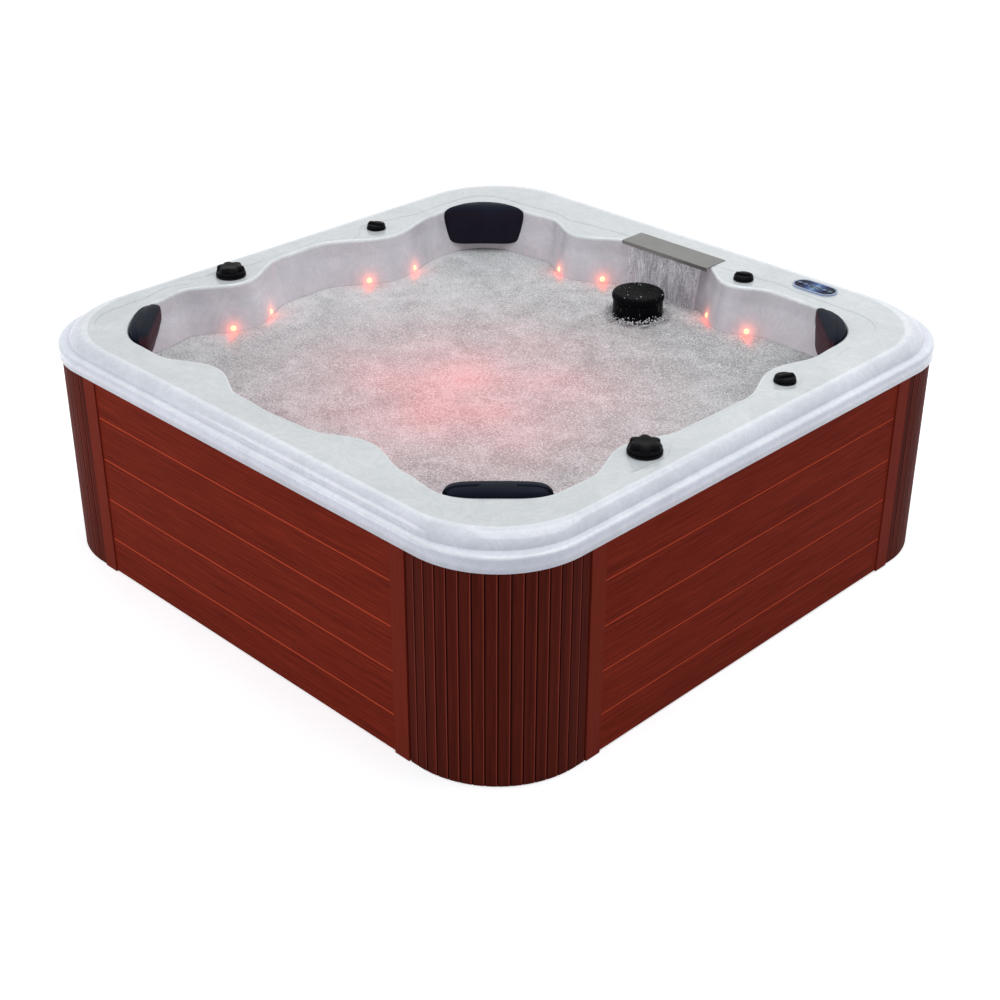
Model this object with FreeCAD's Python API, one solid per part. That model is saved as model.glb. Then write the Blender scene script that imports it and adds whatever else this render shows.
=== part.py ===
import FreeCAD, Part
import math
import os

# Hot tub, in millimetres. The origin is the middle of the footprint on the floor, +Z is up.
# The four sides are called front (-Y), right (+X), back (+Y) and left (-X).

V = FreeCAD.Vector
UP = V(0, 0, 1)

# Skirt: boards between the trim strips, and a fluted panel round each corner
skirt_half = 1045.0
skirt_corner_radius = 300.0
corner_straight = 32.0
board_thickness = 26.0
board_foot = 3.0
board_pitch = 141.0
first_groove = 124.0
groove_depth = 3.0
board_count = 5
trim_width = 55.0
trim_proud = 4.0
trim_foot = 3.0
corner_gap = 4.0
corner_thickness = 14.0
flute_count = 15
flute_depth = 3.0
seat_gap = 0.3
overrun = 20.0

# Rim of the acrylic shell, from its outer lip inward
shell_wall = 6.0
lip_half = 1049.0
lip_foot = 665.0
lip_height = 44.0
lip_corner_radius = 295.0
lip_edge_radius = 12.0
shelf_width = 13.0
shelf_rise = 2.0
roll_width = 39.0
roll_height = 34.0
roll_foot_corner_radius = 295.0
crest_corner_radius = 305.0

# Basin: wall, benches, corner seats and footwell
basin_edge_radius = 16.0
wall_inset = 55.0
wall_lean_share = 0.2256
wall_ring = 660.0
bench_height = 330.0
bench_fillet = 25.0
seat_height = 270.0
seat_reach = 530.0
seat_radius = 215.0
seat_fillet = 30.0
footwell_height = 110.0
footwell_half = 410.0
footwell_corner_radius = 120.0
footwell_fillet = 30.0

# The basin's edge in plan: for each side, places along it and the distance out from the middle
front_edge_shares = [(-0.625, 0.853), (-0.52, 0.856), (-0.335, 0.788), (-0.14, 0.855), (0.0, 0.862),
                     (0.13, 0.853), (0.315, 0.785), (0.50, 0.832), (0.621, 0.846)]
right_edge_shares = [(-0.621, 0.846), (-0.52, 0.849), (-0.33, 0.792), (-0.15, 0.843), (0.0, 0.846),
                     (0.11, 0.847), (0.32, 0.783), (0.48, 0.820), (0.565, 0.815)]
back_edge_shares = [(-0.60, 0.780), (-0.44, 0.783), (-0.30, 0.731), (-0.14, 0.812), (0.0, 0.813),
                    (0.15, 0.805), (0.34, 0.713), (0.50, 0.773), (0.62, 0.760)]
left_edge_shares = [(-0.56, 0.820), (-0.50, 0.816), (-0.28, 0.765), (-0.02, 0.878), (0.12, 0.874),
                    (0.335, 0.788), (0.52, 0.872), (0.625, 0.853)]
# Middle and radius of the basin's rounded corners, starting at front right and going round
corner_arc_shares = [(0.621, -0.621, 0.225), (0.600, 0.565, 0.215),
                     (-0.62, 0.56, 0.20), (-0.625, -0.625, 0.228)]
corner_names = ["front_right", "back_right", "back_left", "front_left"]

# Tray and steel frame
tray_thickness = 6.0
tray_height = 42.0
tray_half = 1012.0
frame_tube = 40.0
frame_tube_wall = 3.0
frame_chamfer = 700.0
post_place = 675.0
insulation_thickness = 12.0
insulation_foot = 132.0
block_size = 260.0
block_place = 250.0

# Pillows
pillow_foot = 620.0
pillow_rise = 11.0
pillow_half_width = 143.0
pillow_depth = 70.0
pillow_crown = 7.0
pillow_clearance = 2.5
pillow_pin_radius = 5.0
pillow_pin_head = 7.0
pillow_pin_spread = 60.0
pillow_pin_height = 690.0
pillow_pin_grip = 14.0
pillow_pin_tail = 12.0
pillow_pin_head_length = 5.0

# Diverter knobs and valves (large), air knobs and valves (small)
diverter_places = [("left", -890.0, -349.0), ("right", 893.0, -338.0)]
diverter_flange_radius = 49.5
diverter_flange_height = 7.0
diverter_body_radius = 32.0
diverter_body_length = 112.0
diverter_chamber_radius = 26.0
diverter_chamber_length = 70.0
diverter_chamber_depth = 26.0
diverter_knob_radius = 47.0
diverter_knob_height = 26.0
diverter_knob_lobes = 6
diverter_knob_scoop = 10.0
stem_radius = 10.0
stem_socket = 16.0
drop_leg_radius = 18.0
air_places = [("left", -882.0, 284.0), ("right", 892.0, 285.0), ("back", 326.0, 823.0)]
air_flange_radius = 33.5
air_flange_height = 4.0
air_body_radius = 20.0
air_body_length = 90.0
air_bore_radius = 14.0
air_bore_depth = 18.0
air_bore_length = 50.0
air_knob_radius = 32.0
air_knob_height = 12.0
air_grip_height = 6.0
air_grip_width = 14.0
air_stem_radius = 6.0
running_fit = 0.05

# Control panel
panel_x = 541.0
panel_y = 922.0
panel_length = 160.0
panel_width = 78.0
panel_bezel_height = 5.0
panel_bezel_width = 6.0
panel_body_depth = 34.0
panel_body_inset = 9.0
panel_body_wall = 3.0
fascia_thickness = 1.6
fascia_recess = 1.0
display_length = 44.0
display_width = 20.0
display_rise = 0.6
button_radius = 8.5
button_places = [-58.0, -37.0, 37.0, 58.0]
button_proud = 1.6
button_travel = 1.0
button_flange = 1.5
button_flange_height = 1.2
button_fit = 0.1
button_post_radius = 3.0

# Waterfall
waterfall_x = -2.0
waterfall_front = 806.0
plate_length = 372.0
plate_width = 102.0
plate_thickness = 2.5
plate_lip = 10.0
fall_body_half = 165.0
fall_body_front = 843.0
fall_body_back = 900.0
fall_head_height = 30.0
fall_body_height = 64.0
fall_step = 16.0
fall_wall = 5.0
fall_mouth_height = 10.0
fall_pipe_offset = 57.0

# Filter that stands on the back bench
filter_x = 37.0
filter_y = 635.0
filter_radius = 88.0
filter_cage_wall = 5.0
filter_top = 672.0
filter_cap_height = 24.0
filter_cap_edge = 6.0
filter_cap_skirt = 14.0
filter_cage_inset = 4.0
filter_slot_count = 18
filter_slot_width = 12.0
filter_slot_height = 92.0
filter_slot_gap = 24.0
cartridge_radius = 70.0
cartridge_bore_radius = 22.0
cartridge_pleats = 24
cartridge_pleat_depth = 8.0
cartridge_end = 12.0
cartridge_lift = 4.0
filter_fitting_radius = 40.0
filter_fitting_depth = 40.0
filter_flange_height = 4.0

# Jets
jet_height = 500.0
jet_body_radius = 42.0
jet_proud = 5.0
jet_cavity_radius = 37.0
jet_cavity_depth = 24.0
jet_face_thickness = 9.0
jet_face_recess = 3.0
jet_port_radius = 7.0
jet_port_reach = 20.0
jet_axle_radius = 6.0
jet_axle_length = 34.0
small_jet_places = [-95.0, 0.0, 95.0]
small_jet_radius = 18.0
small_jet_cavity = 14.0
small_jet_depth = 16.0
small_jet_bore = 4.0
jet_riser_radius = 6.0
jet_riser_setback = 18.0

# Lights
led_height = 597.0
led_places = {"front": [-420.0, -250.0, 240.0, 415.0], "right": [-420.0, -250.0, 240.0, 400.0],
              "back": [-383.0, -238.0, 258.0, 400.0], "left": [-365.0, -195.0, 252.0, 400.0]}
led_radius = 9.0
led_proud = 4.0
led_depth = 18.0
led_housing_radius = 12.0
led_housing_start = 15.0
led_housing_length = 24.0
light_height = 225.0
light_radius = 58.0
light_flange_radius = 68.0
light_flange = 5.0
light_depth = 55.0
light_lens_radius = 50.0
light_lens_thickness = 8.0
light_cavity_depth = 40.0

# Suction covers in the footwell's back wall, and the floor drain
suction_place = 200.0
suction_radius = 40.0
suction_cover_radius = 52.0
suction_cover_height = 12.0
suction_depth = 45.0
suction_hole_radius = 4.0
suction_hole_rings = 3
suction_hole_pitch = 13.0
suction_holes_per_ring = 6
drain_y = -250.0
drain_radius = 30.0
drain_body_radius = 22.0
drain_pipe_radius = 12.0
drain_pipe_bore = 9.0
drain_pipe_height = 78.0
drain_hole_count = 6
drain_spigot_setback = 9.0
drain_cap_radius = 17.0
drain_cap_length = 16.0
drain_recess_radius = 22.0
inlet_x = 300.0
inlet_height = 67.0
inlet_radius = 16.0

# Pumps, heater, control box and pipes
pump_height = 200.0
pump_y = 840.0
volute_start = 445.0
volute_width = 70.0
volute_radius = 95.0
volute_wall = 14.0
volute_port_radius = 30.0
volute_port_length = 22.0
volute_outlet_top = 286.0
motor_radius = 70.0
motor_length = 210.0
motor_wall = 12.0
motor_core_radius = 50.0
motor_core_inset = 20.0
motor_foot_length = 130.0
motor_foot_width = 110.0
shaft_radius = 10.0
impeller_radius = 72.0
impeller_width = 20.0
impeller_hole_count = 6
impeller_hole_reach = 54.0
heater_foot = 300.0
heater_length = 130.0
heater_radius = 36.0
heater_wall = 3.0
box_half_length = 140.0
box_foot = 210.0
box_height = 180.0
box_depth = 98.0
box_wall = 4.0
pipe_radius = 24.0
pipe_wall = 3.0
ring_half = 915.0
ring_corner_radius = 280.0
ring_radius = 22.0
air_ring_half = 952.0
air_ring_corner_radius = 317.0
air_ring_radius = 12.0
air_ring_height = 560.0
fall_pipe_radius = 14.0
filter_pipe_bend = 60.0
suction_pipe_bend = 80.0

# Sizes that follow
rim_top = lip_foot + lip_height + shelf_rise + roll_height
rim_under = rim_top - shell_wall
wall_turn = rim_top - basin_edge_radius - wall_inset / wall_lean_share
skirt_flat = skirt_half - skirt_corner_radius
strip_end = skirt_flat - corner_straight
board_back = skirt_half - board_thickness
board_end = strip_end - trim_width - seat_gap
frame_outer = board_back - seat_gap
frame_inner = frame_outer - frame_tube
skirt_top = lip_foot - seat_gap
rail_reach = lip_half - lip_edge_radius - shell_wall - frame_outer
rail_top = lip_foot + lip_height - shell_wall + shelf_rise * rail_reach / shelf_width - seat_gap
rail_foot = rail_top - frame_tube


def box(x0, x1, y0, y1, z0, z1):
    return Part.makeBox(x1 - x0, y1 - y0, z1 - z0, V(x0, y0, z0))


def rod(radius, start, end):
    way = end - start
    return Part.makeCylinder(radius, way.Length, start, way)


def upright(radius, x, y, z0, z1):
    return Part.makeCylinder(radius, z1 - z0, V(x, y, z0), UP)


def turned(shape, quarter):
    copy = shape.copy()
    copy.rotate(V(0, 0, 0), UP, 90 * quarter)
    return copy


def mirrored(shape):
    return shape.mirror(V(0, 0, 0), V(1, 0, 0))


def rounded_square(half, radius, z):
    straight = half - radius
    edges = []
    for quarter in range(4):
        line = Part.LineSegment(V(-straight, -half, z), V(straight, -half, z)).toShape()
        middle = V(straight, -straight, z)
        slant = radius * math.sqrt(0.5)
        bend = Part.Arc(V(straight, -half, z), middle + V(slant, -slant, 0), V(half, -straight, z)).toShape()
        edges += [turned(line, quarter), turned(bend, quarter)]
    return Part.Wire(edges)


def loft(wires, ruled=True):
    return Part.makeLoft(wires, True, ruled)


def prism(wire, height):
    return Part.Face(wire).extrude(V(0, 0, height))


def stadium(x, y, length, width, z):
    radius = width / 2
    reach = length / 2 - radius
    corners = [V(x + reach, y + radius, z), V(x - reach, y + radius, z),
               V(x - reach, y - radius, z), V(x + reach, y - radius, z)]
    top = Part.LineSegment(corners[0], corners[1]).toShape()
    left = Part.Arc(corners[1], V(x - reach - radius, y, z), corners[2]).toShape()
    bottom = Part.LineSegment(corners[2], corners[3]).toShape()
    right = Part.Arc(corners[3], V(x + reach + radius, y, z), corners[0]).toShape()
    return Part.Wire([top, left, bottom, right])


def bent_path(points, bend):
    """Straight runs joined by tangent arcs of one radius."""
    edges = []
    start = points[0]
    for before, corner, after in zip(points, points[1:], points[2:]):
        come = (corner - before).normalize()
        leave = (after - corner).normalize()
        turn = come.getAngle(leave)
        cut = bend * math.tan(turn / 2)
        enter = corner - come * cut
        out = corner + leave * cut
        inward = (leave - come).normalize()
        middle = corner + inward * (bend / math.cos(turn / 2) - bend)
        edges.append(Part.LineSegment(start, enter).toShape())
        edges.append(Part.Arc(enter, middle, out).toShape())
        start = out
    edges.append(Part.LineSegment(start, points[-1]).toShape())
    return Part.Wire(edges)


def swept(path, start, way, radius):
    circle = Part.Wire([Part.makeCircle(radius, start, way)])
    return path.makePipeShell([circle], True, False)


def pipe(points, bend, radius):
    path = bent_path(points, bend)
    way = points[1] - points[0]
    outside = swept(path, points[0], way, radius)
    return outside.cut(swept(path, points[0], way, radius - pipe_wall))


def ring_pipe(half, bend, z, radius):
    """A closed pipe round the basin: straight tubes and quarter bends in one piece."""
    straight = half - bend
    pieces = []
    for quarter in range(4):
        run = rod(radius, V(-straight, -half, z), V(straight, -half, z))
        corner = Part.makeTorus(bend, radius, V(straight, -straight, z), UP, -180, 180, 90)
        corner.rotate(V(straight, -straight, z), UP, -90)
        pieces += [turned(run, quarter), turned(corner, quarter)]
    return pieces[0].fuse(pieces[1:]).removeSplitter()


def hollow_ring(half, bend, z, radius):
    return ring_pipe(half, bend, z, radius).cut(ring_pipe(half, bend, z, radius - pipe_wall))


def group(shapes):
    solids = []
    for shape in shapes:
        solids += shape.Solids
    return Part.makeCompound(solids)


# Plan of the basin

def side_distance(shares, place):
    """Distance of the basin's edge from the middle, in half waves between the chosen places."""
    share = place / skirt_half
    for (s0, d0), (s1, d1) in zip(shares, shares[1:]):
        if share <= s1:
            wave = (1 - math.cos(math.pi * (share - s0) / (s1 - s0))) / 2
            return (d0 + (d1 - d0) * wave) * skirt_half
    return shares[-1][1] * skirt_half


side_shares = [front_edge_shares, right_edge_shares, back_edge_shares, left_edge_shares]
side_names = ["front", "right", "back", "left"]


def on_side(quarter, along, out):
    """A plan point on one side, which is reached by turning the front side by quarters."""
    point = V(along, -out, 0)
    return FreeCAD.Rotation(UP, 90 * quarter).multVec(point)


def plan_points(inset):
    side_steps = 28
    corner_steps = 8
    raw = []
    for quarter in range(4):
        shares = side_shares[quarter]
        first = shares[0][0] * skirt_half
        last = shares[-1][0] * skirt_half
        for step in range(side_steps):
            along = first + (last - first) * step / side_steps
            raw.append(on_side(quarter, along, side_distance(shares, along)))
        x, y, radius = [share * skirt_half for share in corner_arc_shares[quarter]]
        for step in range(corner_steps):
            angle = math.radians(90 * (quarter - 1) + 90 * step / corner_steps)
            raw.append(V(x + radius * math.cos(angle), y + radius * math.sin(angle), 0))
    points = []
    for index, point in enumerate(raw):
        way = raw[(index + 1) % len(raw)] - raw[index - 1]
        inward = V(-way.y, way.x, 0).normalize()
        points.append(point + inward * inset)
    return points


def plan_places():
    """How far round the basin's edge each plan point lies, so that every height runs alike."""
    points = plan_points(0)
    places = [0.0]
    for index, point in enumerate(points):
        places.append(places[-1] + (points[(index + 1) % len(points)] - point).Length)
    return places


def plan_wire(inset, z):
    curve = Part.BSplineCurve()
    points = [V(p.x, p.y, z) for p in plan_points(inset)]
    curve.interpolate(Points=points, PeriodicFlag=True, Parameters=plan_places())
    return Part.Wire([curve.toShape()])


def inset_at(z):
    """How far the wall stands in from its edge at a height: it leans down to the jets, then drops."""
    lean = wall_lean_share * (rim_top - basin_edge_radius - z)
    return min(wall_inset, max(0.0, lean))


def wall_point(quarter, along, z):
    """A point on the inside of a side wall and the way from it into the wall."""
    def spot(place):
        return on_side(quarter, place, side_distance(side_shares[quarter], place))
    step = shell_wall
    way = spot(along + step) - spot(along - step)
    outward = V(way.y, -way.x, 0).normalize()
    point = spot(along) - outward * inset_at(z)
    return V(point.x, point.y, z), outward


def corner_point(index, z):
    """The middle of a rounded corner of the wall and the way from it into the wall."""
    x, y, radius = [share * skirt_half for share in corner_arc_shares[index]]
    outward = V(math.copysign(1, x), math.copysign(1, y), 0).normalize()
    point = V(x, y, z) + outward * (radius - inset_at(z))
    return point, outward


# Acrylic shell

def rim_rings(inset):
    """Outline of the rim from the lip's foot to the crest: half width, corner radius, height."""
    rings = []
    arc_steps = 5
    roll_steps = 8
    lip_top = lip_foot + lip_height
    foot = lip_foot - overrun if inset else lip_foot
    rings.append((lip_half - inset, lip_corner_radius - inset, foot))
    for step in range(arc_steps + 1):
        angle = math.pi / 2 * step / arc_steps
        back = lip_edge_radius * (1 - math.cos(angle))
        rise = lip_edge_radius * math.sin(angle)
        height = lip_top - lip_edge_radius + rise - inset
        rings.append((lip_half - back - inset, lip_corner_radius - back - inset, height))
    roll_foot = lip_half - lip_edge_radius - shelf_width
    for step in range(roll_steps + 1):
        angle = math.pi / 2 * step / roll_steps
        half = roll_foot - roll_width * (1 - math.cos(angle))
        part = step / roll_steps
        radius = roll_foot_corner_radius + (crest_corner_radius - roll_foot_corner_radius) * part
        height = lip_top + shelf_rise + roll_height * math.sin(angle)
        rings.append((half - inset, radius - inset, height - inset))
    return rings


def rim_solid(inset):
    return loft([rounded_square(*ring) for ring in rim_rings(inset)])


def basin_solid(grow):
    """The space inside the basin, or the same grown by the wall for its outside."""
    edge_steps = 4
    foot_steps = 3
    top = rim_top - grow / 2 if grow else rim_top + overrun
    wires = [plan_wire(-basin_edge_radius - grow, top)]
    for step in range(edge_steps + 1):
        angle = math.pi / 2 * step / edge_steps
        back = basin_edge_radius * (1 - math.sin(angle))
        height = rim_top - basin_edge_radius * (1 - math.cos(angle)) - grow
        wires.append(plan_wire(-back - grow, height))
    wires.append(plan_wire(inset_at(wall_ring) - grow, wall_ring))
    wires.append(plan_wire(wall_inset - grow, wall_turn))
    for step in range(foot_steps + 1):
        angle = math.pi / 2 * step / foot_steps
        height = bench_height + bench_fillet * (1 - math.sin(angle))
        inset = wall_inset + bench_fillet * (1 - math.cos(angle))
        wires.append(plan_wire(inset - grow, height - grow))
    return loft(wires)


def sunk_solid(wire_at, foot, fillet, grow):
    """A hollow below the bench with a rounded foot."""
    steps = 3
    wires = [wire_at(grow, bench_height + bench_fillet - grow)]
    for step in range(steps + 1):
        angle = math.pi / 2 * step / steps
        height = foot + fillet * (1 - math.sin(angle)) - grow
        wires.append(wire_at(grow - fillet * (1 - math.cos(angle)), height))
    return loft(wires)


def footwell_wire(grow, z):
    return rounded_square(footwell_half + grow, footwell_corner_radius + grow, z)


def seat_wire(x, y):
    def wire(grow, z):
        return Part.Wire([Part.makeCircle(seat_radius + grow, V(x, y, z), UP)])
    return wire


def seat_middles():
    return [(sx * seat_reach, sy * seat_reach) for sx, sy in ((1, -1), (1, 1), (-1, 1), (-1, -1))]


def inside_solid(grow):
    solid = basin_solid(grow)
    hollows = [sunk_solid(footwell_wire, footwell_height, footwell_fillet, grow)]
    for x, y in seat_middles():
        hollows.append(sunk_solid(seat_wire(x, y), seat_height, seat_fillet, grow))
    return solid.fuse(hollows)


def through_rim(radius, x, y):
    return upright(radius, x, y, rim_under - overrun, rim_top + overrun)


def through_wall(radius, point, outward):
    return rod(radius + seat_gap, point - outward * overrun, point + outward * overrun)


def shell_holes():
    """Every hole in the shell, each from the piece that passes through it."""
    holes = []
    for name, x, y in diverter_places:
        holes.append(through_rim(diverter_body_radius + seat_gap, x, y))
    for name, x, y in air_places:
        holes.append(through_rim(air_body_radius + seat_gap, x, y))
    body = stadium(panel_x, panel_y, panel_length - panel_body_inset * 2 + seat_gap * 2,
                   panel_width - panel_body_inset * 2 + seat_gap * 2, rim_under - overrun)
    holes.append(prism(body, shell_wall + overrun * 2))
    holes.append(box(waterfall_x - fall_body_half - seat_gap, waterfall_x + fall_body_half + seat_gap,
                     waterfall_front, fall_body_back + seat_gap,
                     rim_top - fall_head_height - seat_gap, rim_top + overrun))
    for index in range(4):
        point, outward = corner_point(index, jet_height)
        holes.append(through_wall(jet_body_radius, point, outward))
        for point, outward in pillow_pin_places(index):
            holes.append(through_wall(pillow_pin_radius, point, outward))
    for quarter in range(4):
        for place in small_jet_places:
            point, outward = wall_point(quarter, place, jet_height)
            holes.append(through_wall(small_jet_radius, point, on_side(quarter, 0, 1)))
        for place in led_places[side_names[quarter]]:
            point, outward = wall_point(quarter, place, led_height)
            holes.append(through_wall(led_radius, point, outward))
    for x in (-suction_place, suction_place):
        holes.append(through_wall(suction_radius, V(x, footwell_half, pump_height), V(0, 1, 0)))
    holes.append(through_wall(light_radius, V(0, -footwell_half, light_height), V(0, -1, 0)))
    holes.append(through_wall(filter_fitting_radius, V(filter_x, filter_y, bench_height), UP))
    holes.append(through_wall(drain_body_radius, V(0, drain_y, footwell_height), UP))
    return holes


def acrylic_shell():
    skin = rim_solid(0).cut(rim_solid(shell_wall))
    shell = skin.fuse(inside_solid(shell_wall)).cut(inside_solid(0))
    return shell.cut(shell_holes())


# Skirt

def side_boards(quarter):
    boards = []
    chamfer = groove_depth
    for index in range(board_count):
        foot = board_foot if index == 0 else first_groove + board_pitch * (index - 1)
        top = skirt_top if index == board_count - 1 else first_groove + board_pitch * index
        outline = [V(-board_end, -board_back, foot), V(-board_end, -skirt_half + chamfer, foot),
                   V(-board_end, -skirt_half, foot + chamfer), V(-board_end, -skirt_half, top - chamfer),
                   V(-board_end, -skirt_half + chamfer, top), V(-board_end, -board_back, top)]
        face = Part.Face(Part.makePolygon(outline + outline[:1]))
        board = face.extrude(V(board_end * 2, 0, 0))
        boards.append(turned(board, quarter))
    if side_names[quarter] == "left":
        hole = rod(drain_recess_radius, V(-board_back + overrun, drain_y, drain_pipe_height),
                   V(-skirt_half - overrun, drain_y, drain_pipe_height))
        boards[0] = boards[0].cut(hole)
    if side_names[quarter] == "back":
        hole = rod(inlet_radius, V(inlet_x, board_back - overrun, inlet_height),
                   V(inlet_x, skirt_half + overrun, inlet_height))
        boards[0] = boards[0].cut(hole)
    return group(boards)


def corner_panel(quarter):
    """A quarter round panel with upright flutes, short of the trim strips at both ends."""
    middle = V(skirt_flat, -skirt_flat, board_foot)
    height = skirt_top - board_foot
    outer = prism(rounded_square(skirt_half, skirt_corner_radius, board_foot), height)
    inner_half = skirt_half - corner_thickness
    inner = prism(rounded_square(inner_half, skirt_corner_radius - corner_thickness, board_foot), height)
    keep = box(strip_end + corner_gap, skirt_half + overrun, -skirt_half - overrun, -strip_end - corner_gap,
               board_foot, skirt_top)
    panel = outer.cut(inner).common(keep)
    cuts = []
    for index in range(flute_count):
        angle = math.radians(90 * index / (flute_count - 1) - 90)
        outward = V(math.cos(angle), math.sin(angle), 0)
        across = V(-outward.y, outward.x, 0)
        deep = middle + outward * (skirt_corner_radius - flute_depth)
        wide = middle + outward * (skirt_corner_radius + flute_depth)
        notch = Part.makePolygon([deep, wide + across * flute_depth, wide - across * flute_depth, deep])
        cuts.append(prism(notch, height))
    return turned(panel.cut(cuts), quarter)


def trim_strips():
    strips = []
    for quarter in range(4):
        for sign in (-1, 1):
            inner = strip_end - trim_width
            x0, x1 = sorted((sign * inner, sign * strip_end))
            strip = box(x0, x1, -skirt_half - trim_proud, -board_back, trim_foot, skirt_top)
            strips.append(turned(strip, quarter))
    return group(strips)


def insulation_panels():
    panels = []
    for quarter in range(4):
        for sign in (-1, 1):
            near = frame_tube / 2 + seat_gap
            far = post_place - frame_tube / 2 - seat_gap
            x0, x1 = sorted((sign * near, sign * far))
            panel = box(x0, x1, -frame_outer, -frame_outer + insulation_thickness,
                        insulation_foot, rail_foot - seat_gap)
            panels.append(turned(panel, quarter))
    return group(panels)


# Tray and frame

def octagon(outer, chamfer, z):
    points = []
    for quarter in range(4):
        points.append(on_side(quarter, -chamfer, outer) + V(0, 0, z))
        points.append(on_side(quarter, chamfer, outer) + V(0, 0, z))
    return Part.makePolygon(points + points[:1])


def octagon_frame(outer, chamfer, foot, height, wall):
    """Square tube bent round as an octagon."""
    step = math.tan(math.pi / 8)

    def solid(inset, z0, z1):
        return prism(octagon(outer - inset, chamfer - inset * step, z0), z1 - z0)
    frame = solid(0, foot, foot + height).cut(solid(frame_tube, foot, foot + height))
    hollow = solid(wall, foot + wall, foot + height - wall)
    hollow = hollow.cut(solid(frame_tube - wall, foot + wall, foot + height - wall))
    return frame.cut(hollow)


frame_foot = tray_thickness + seat_gap
frame_top = frame_foot + frame_tube


def base_tray():
    radius = skirt_corner_radius - (skirt_half - tray_half)
    outside = prism(rounded_square(tray_half, radius, 0), tray_height)
    inner_half = tray_half - tray_thickness
    inside = prism(rounded_square(inner_half, radius - tray_thickness, tray_thickness), tray_height)
    return outside.cut(inside)


def base_frame():
    outer = tray_half - tray_thickness - seat_gap
    return octagon_frame(outer, frame_chamfer, frame_foot, frame_tube, frame_tube_wall)


def top_rail():
    return octagon_frame(frame_outer, frame_chamfer, rail_foot, frame_tube, frame_tube_wall)


def frame_posts():
    posts = []
    for quarter in range(4):
        for place in (-post_place, 0, post_place):
            half = frame_tube / 2
            post = box(place - half, place + half, -frame_outer, -frame_inner, frame_top, rail_foot)
            inner = half - frame_tube_wall
            hollow = box(place - inner, place + inner, -frame_outer + frame_tube_wall,
                         -frame_inner - frame_tube_wall, frame_top, rail_foot)
            posts.append(turned(post.cut(hollow), quarter))
    return group(posts)


def footwell_blocks():
    blocks = []
    half = block_size / 2
    for x in (-block_place, block_place):
        for y in (-block_place, block_place):
            block = box(x - half, x + half, y - half, y + half, tray_thickness, footwell_height - shell_wall)
            blocks.append(block.cut(drain_way()))
    return group(blocks)


def drain_way():
    room = drain_pipe_radius + seat_gap
    start = V(drain_body_radius + overrun, drain_y, drain_pipe_height)
    return rod(room, start, V(-skirt_half - overrun, drain_y, drain_pipe_height))


# Pillows

# The back's width beside the front's, how far the ends bulge, and the sections' heights, widths and depths
pillow_back_share = 0.90
pillow_end_share = 0.02
pillow_section_shares = [(0.0, 0.72, 0.50), (0.05, 0.79, 0.66), (0.20, 0.84, 0.82), (0.50, 0.93, 0.95),
                         (0.80, 1.0, 1.0), (0.93, 0.985, 0.90), (0.985, 0.93, 0.72), (1.0, 0.86, 0.58)]


def pillow_section(z, half_width, depth, back_radius, middle, outward):
    """Outline at one height: a crowned front, round ends and a back that follows the corner."""
    across = V(-outward.y, outward.x, 0)

    def at(u, v):
        return middle + across * u + outward * v + V(0, 0, z)
    back_half = half_width * pillow_back_share
    front = back_radius - depth
    back = math.sqrt(back_radius ** 2 - back_half ** 2)
    end = (front + back) / 2
    bulge = half_width + (back - front) * pillow_end_share
    return Part.Wire([
        Part.Arc(at(-half_width, front), at(0, front - pillow_crown), at(half_width, front)).toShape(),
        Part.Arc(at(half_width, front), at(bulge, end), at(back_half, back)).toShape(),
        Part.Arc(at(back_half, back), at(0, back_radius), at(-back_half, back)).toShape(),
        Part.Arc(at(-back_half, back), at(-bulge, end), at(-half_width, front)).toShape(),
    ])


def pillow(index):
    x, y, radius = [share * skirt_half for share in corner_arc_shares[index]]
    outward = corner_point(index, pillow_foot)[1]
    top = rim_top + pillow_rise
    wires = []
    for height_share, width_share, depth_share in pillow_section_shares:
        z = pillow_foot + (top - pillow_foot) * height_share
        back_radius = radius - inset_at(z) - pillow_clearance
        wires.append(pillow_section(z, pillow_half_width * width_share, pillow_depth * depth_share,
                                    back_radius, V(x, y, 0), outward))
    body = loft(wires)
    sockets = []
    for place, way in pillow_pin_places(index):
        reach = way * pillow_pin_grip
        sockets.append(rod(pillow_pin_radius + seat_gap, place + reach, place - reach))
    return body.cut(sockets)


def pillow_pin_places(index):
    """Two points on the corner wall behind a pillow, and the way into the wall."""
    point, outward = corner_point(index, pillow_pin_height)
    x, y, radius = [share * skirt_half for share in corner_arc_shares[index]]
    wall_radius = radius - inset_at(pillow_pin_height)
    across = V(-outward.y, outward.x, 0)
    places = []
    for sign in (-1, 1):
        reach = math.sqrt(wall_radius ** 2 - pillow_pin_spread ** 2)
        spot = V(x, y, pillow_pin_height) + across * (sign * pillow_pin_spread) + outward * reach
        places.append((spot, outward))
    return places


def pillow_pins():
    pins = []
    for index in range(4):
        for place, way in pillow_pin_places(index):
            tail = place + way * pillow_pin_tail
            pin = rod(pillow_pin_radius, place - way * (pillow_pin_grip - seat_gap), tail)
            head = rod(pillow_pin_head, tail, tail + way * pillow_pin_head_length)
            pins.append(pin.fuse(head))
    return group(pins)


# Knobs and their valves

def water_ring_room():
    return ring_pipe(ring_half, ring_corner_radius, jet_height, ring_radius + seat_gap)


def air_ring_room():
    return ring_pipe(air_ring_half, air_ring_corner_radius, air_ring_height, air_ring_radius + seat_gap)


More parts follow.
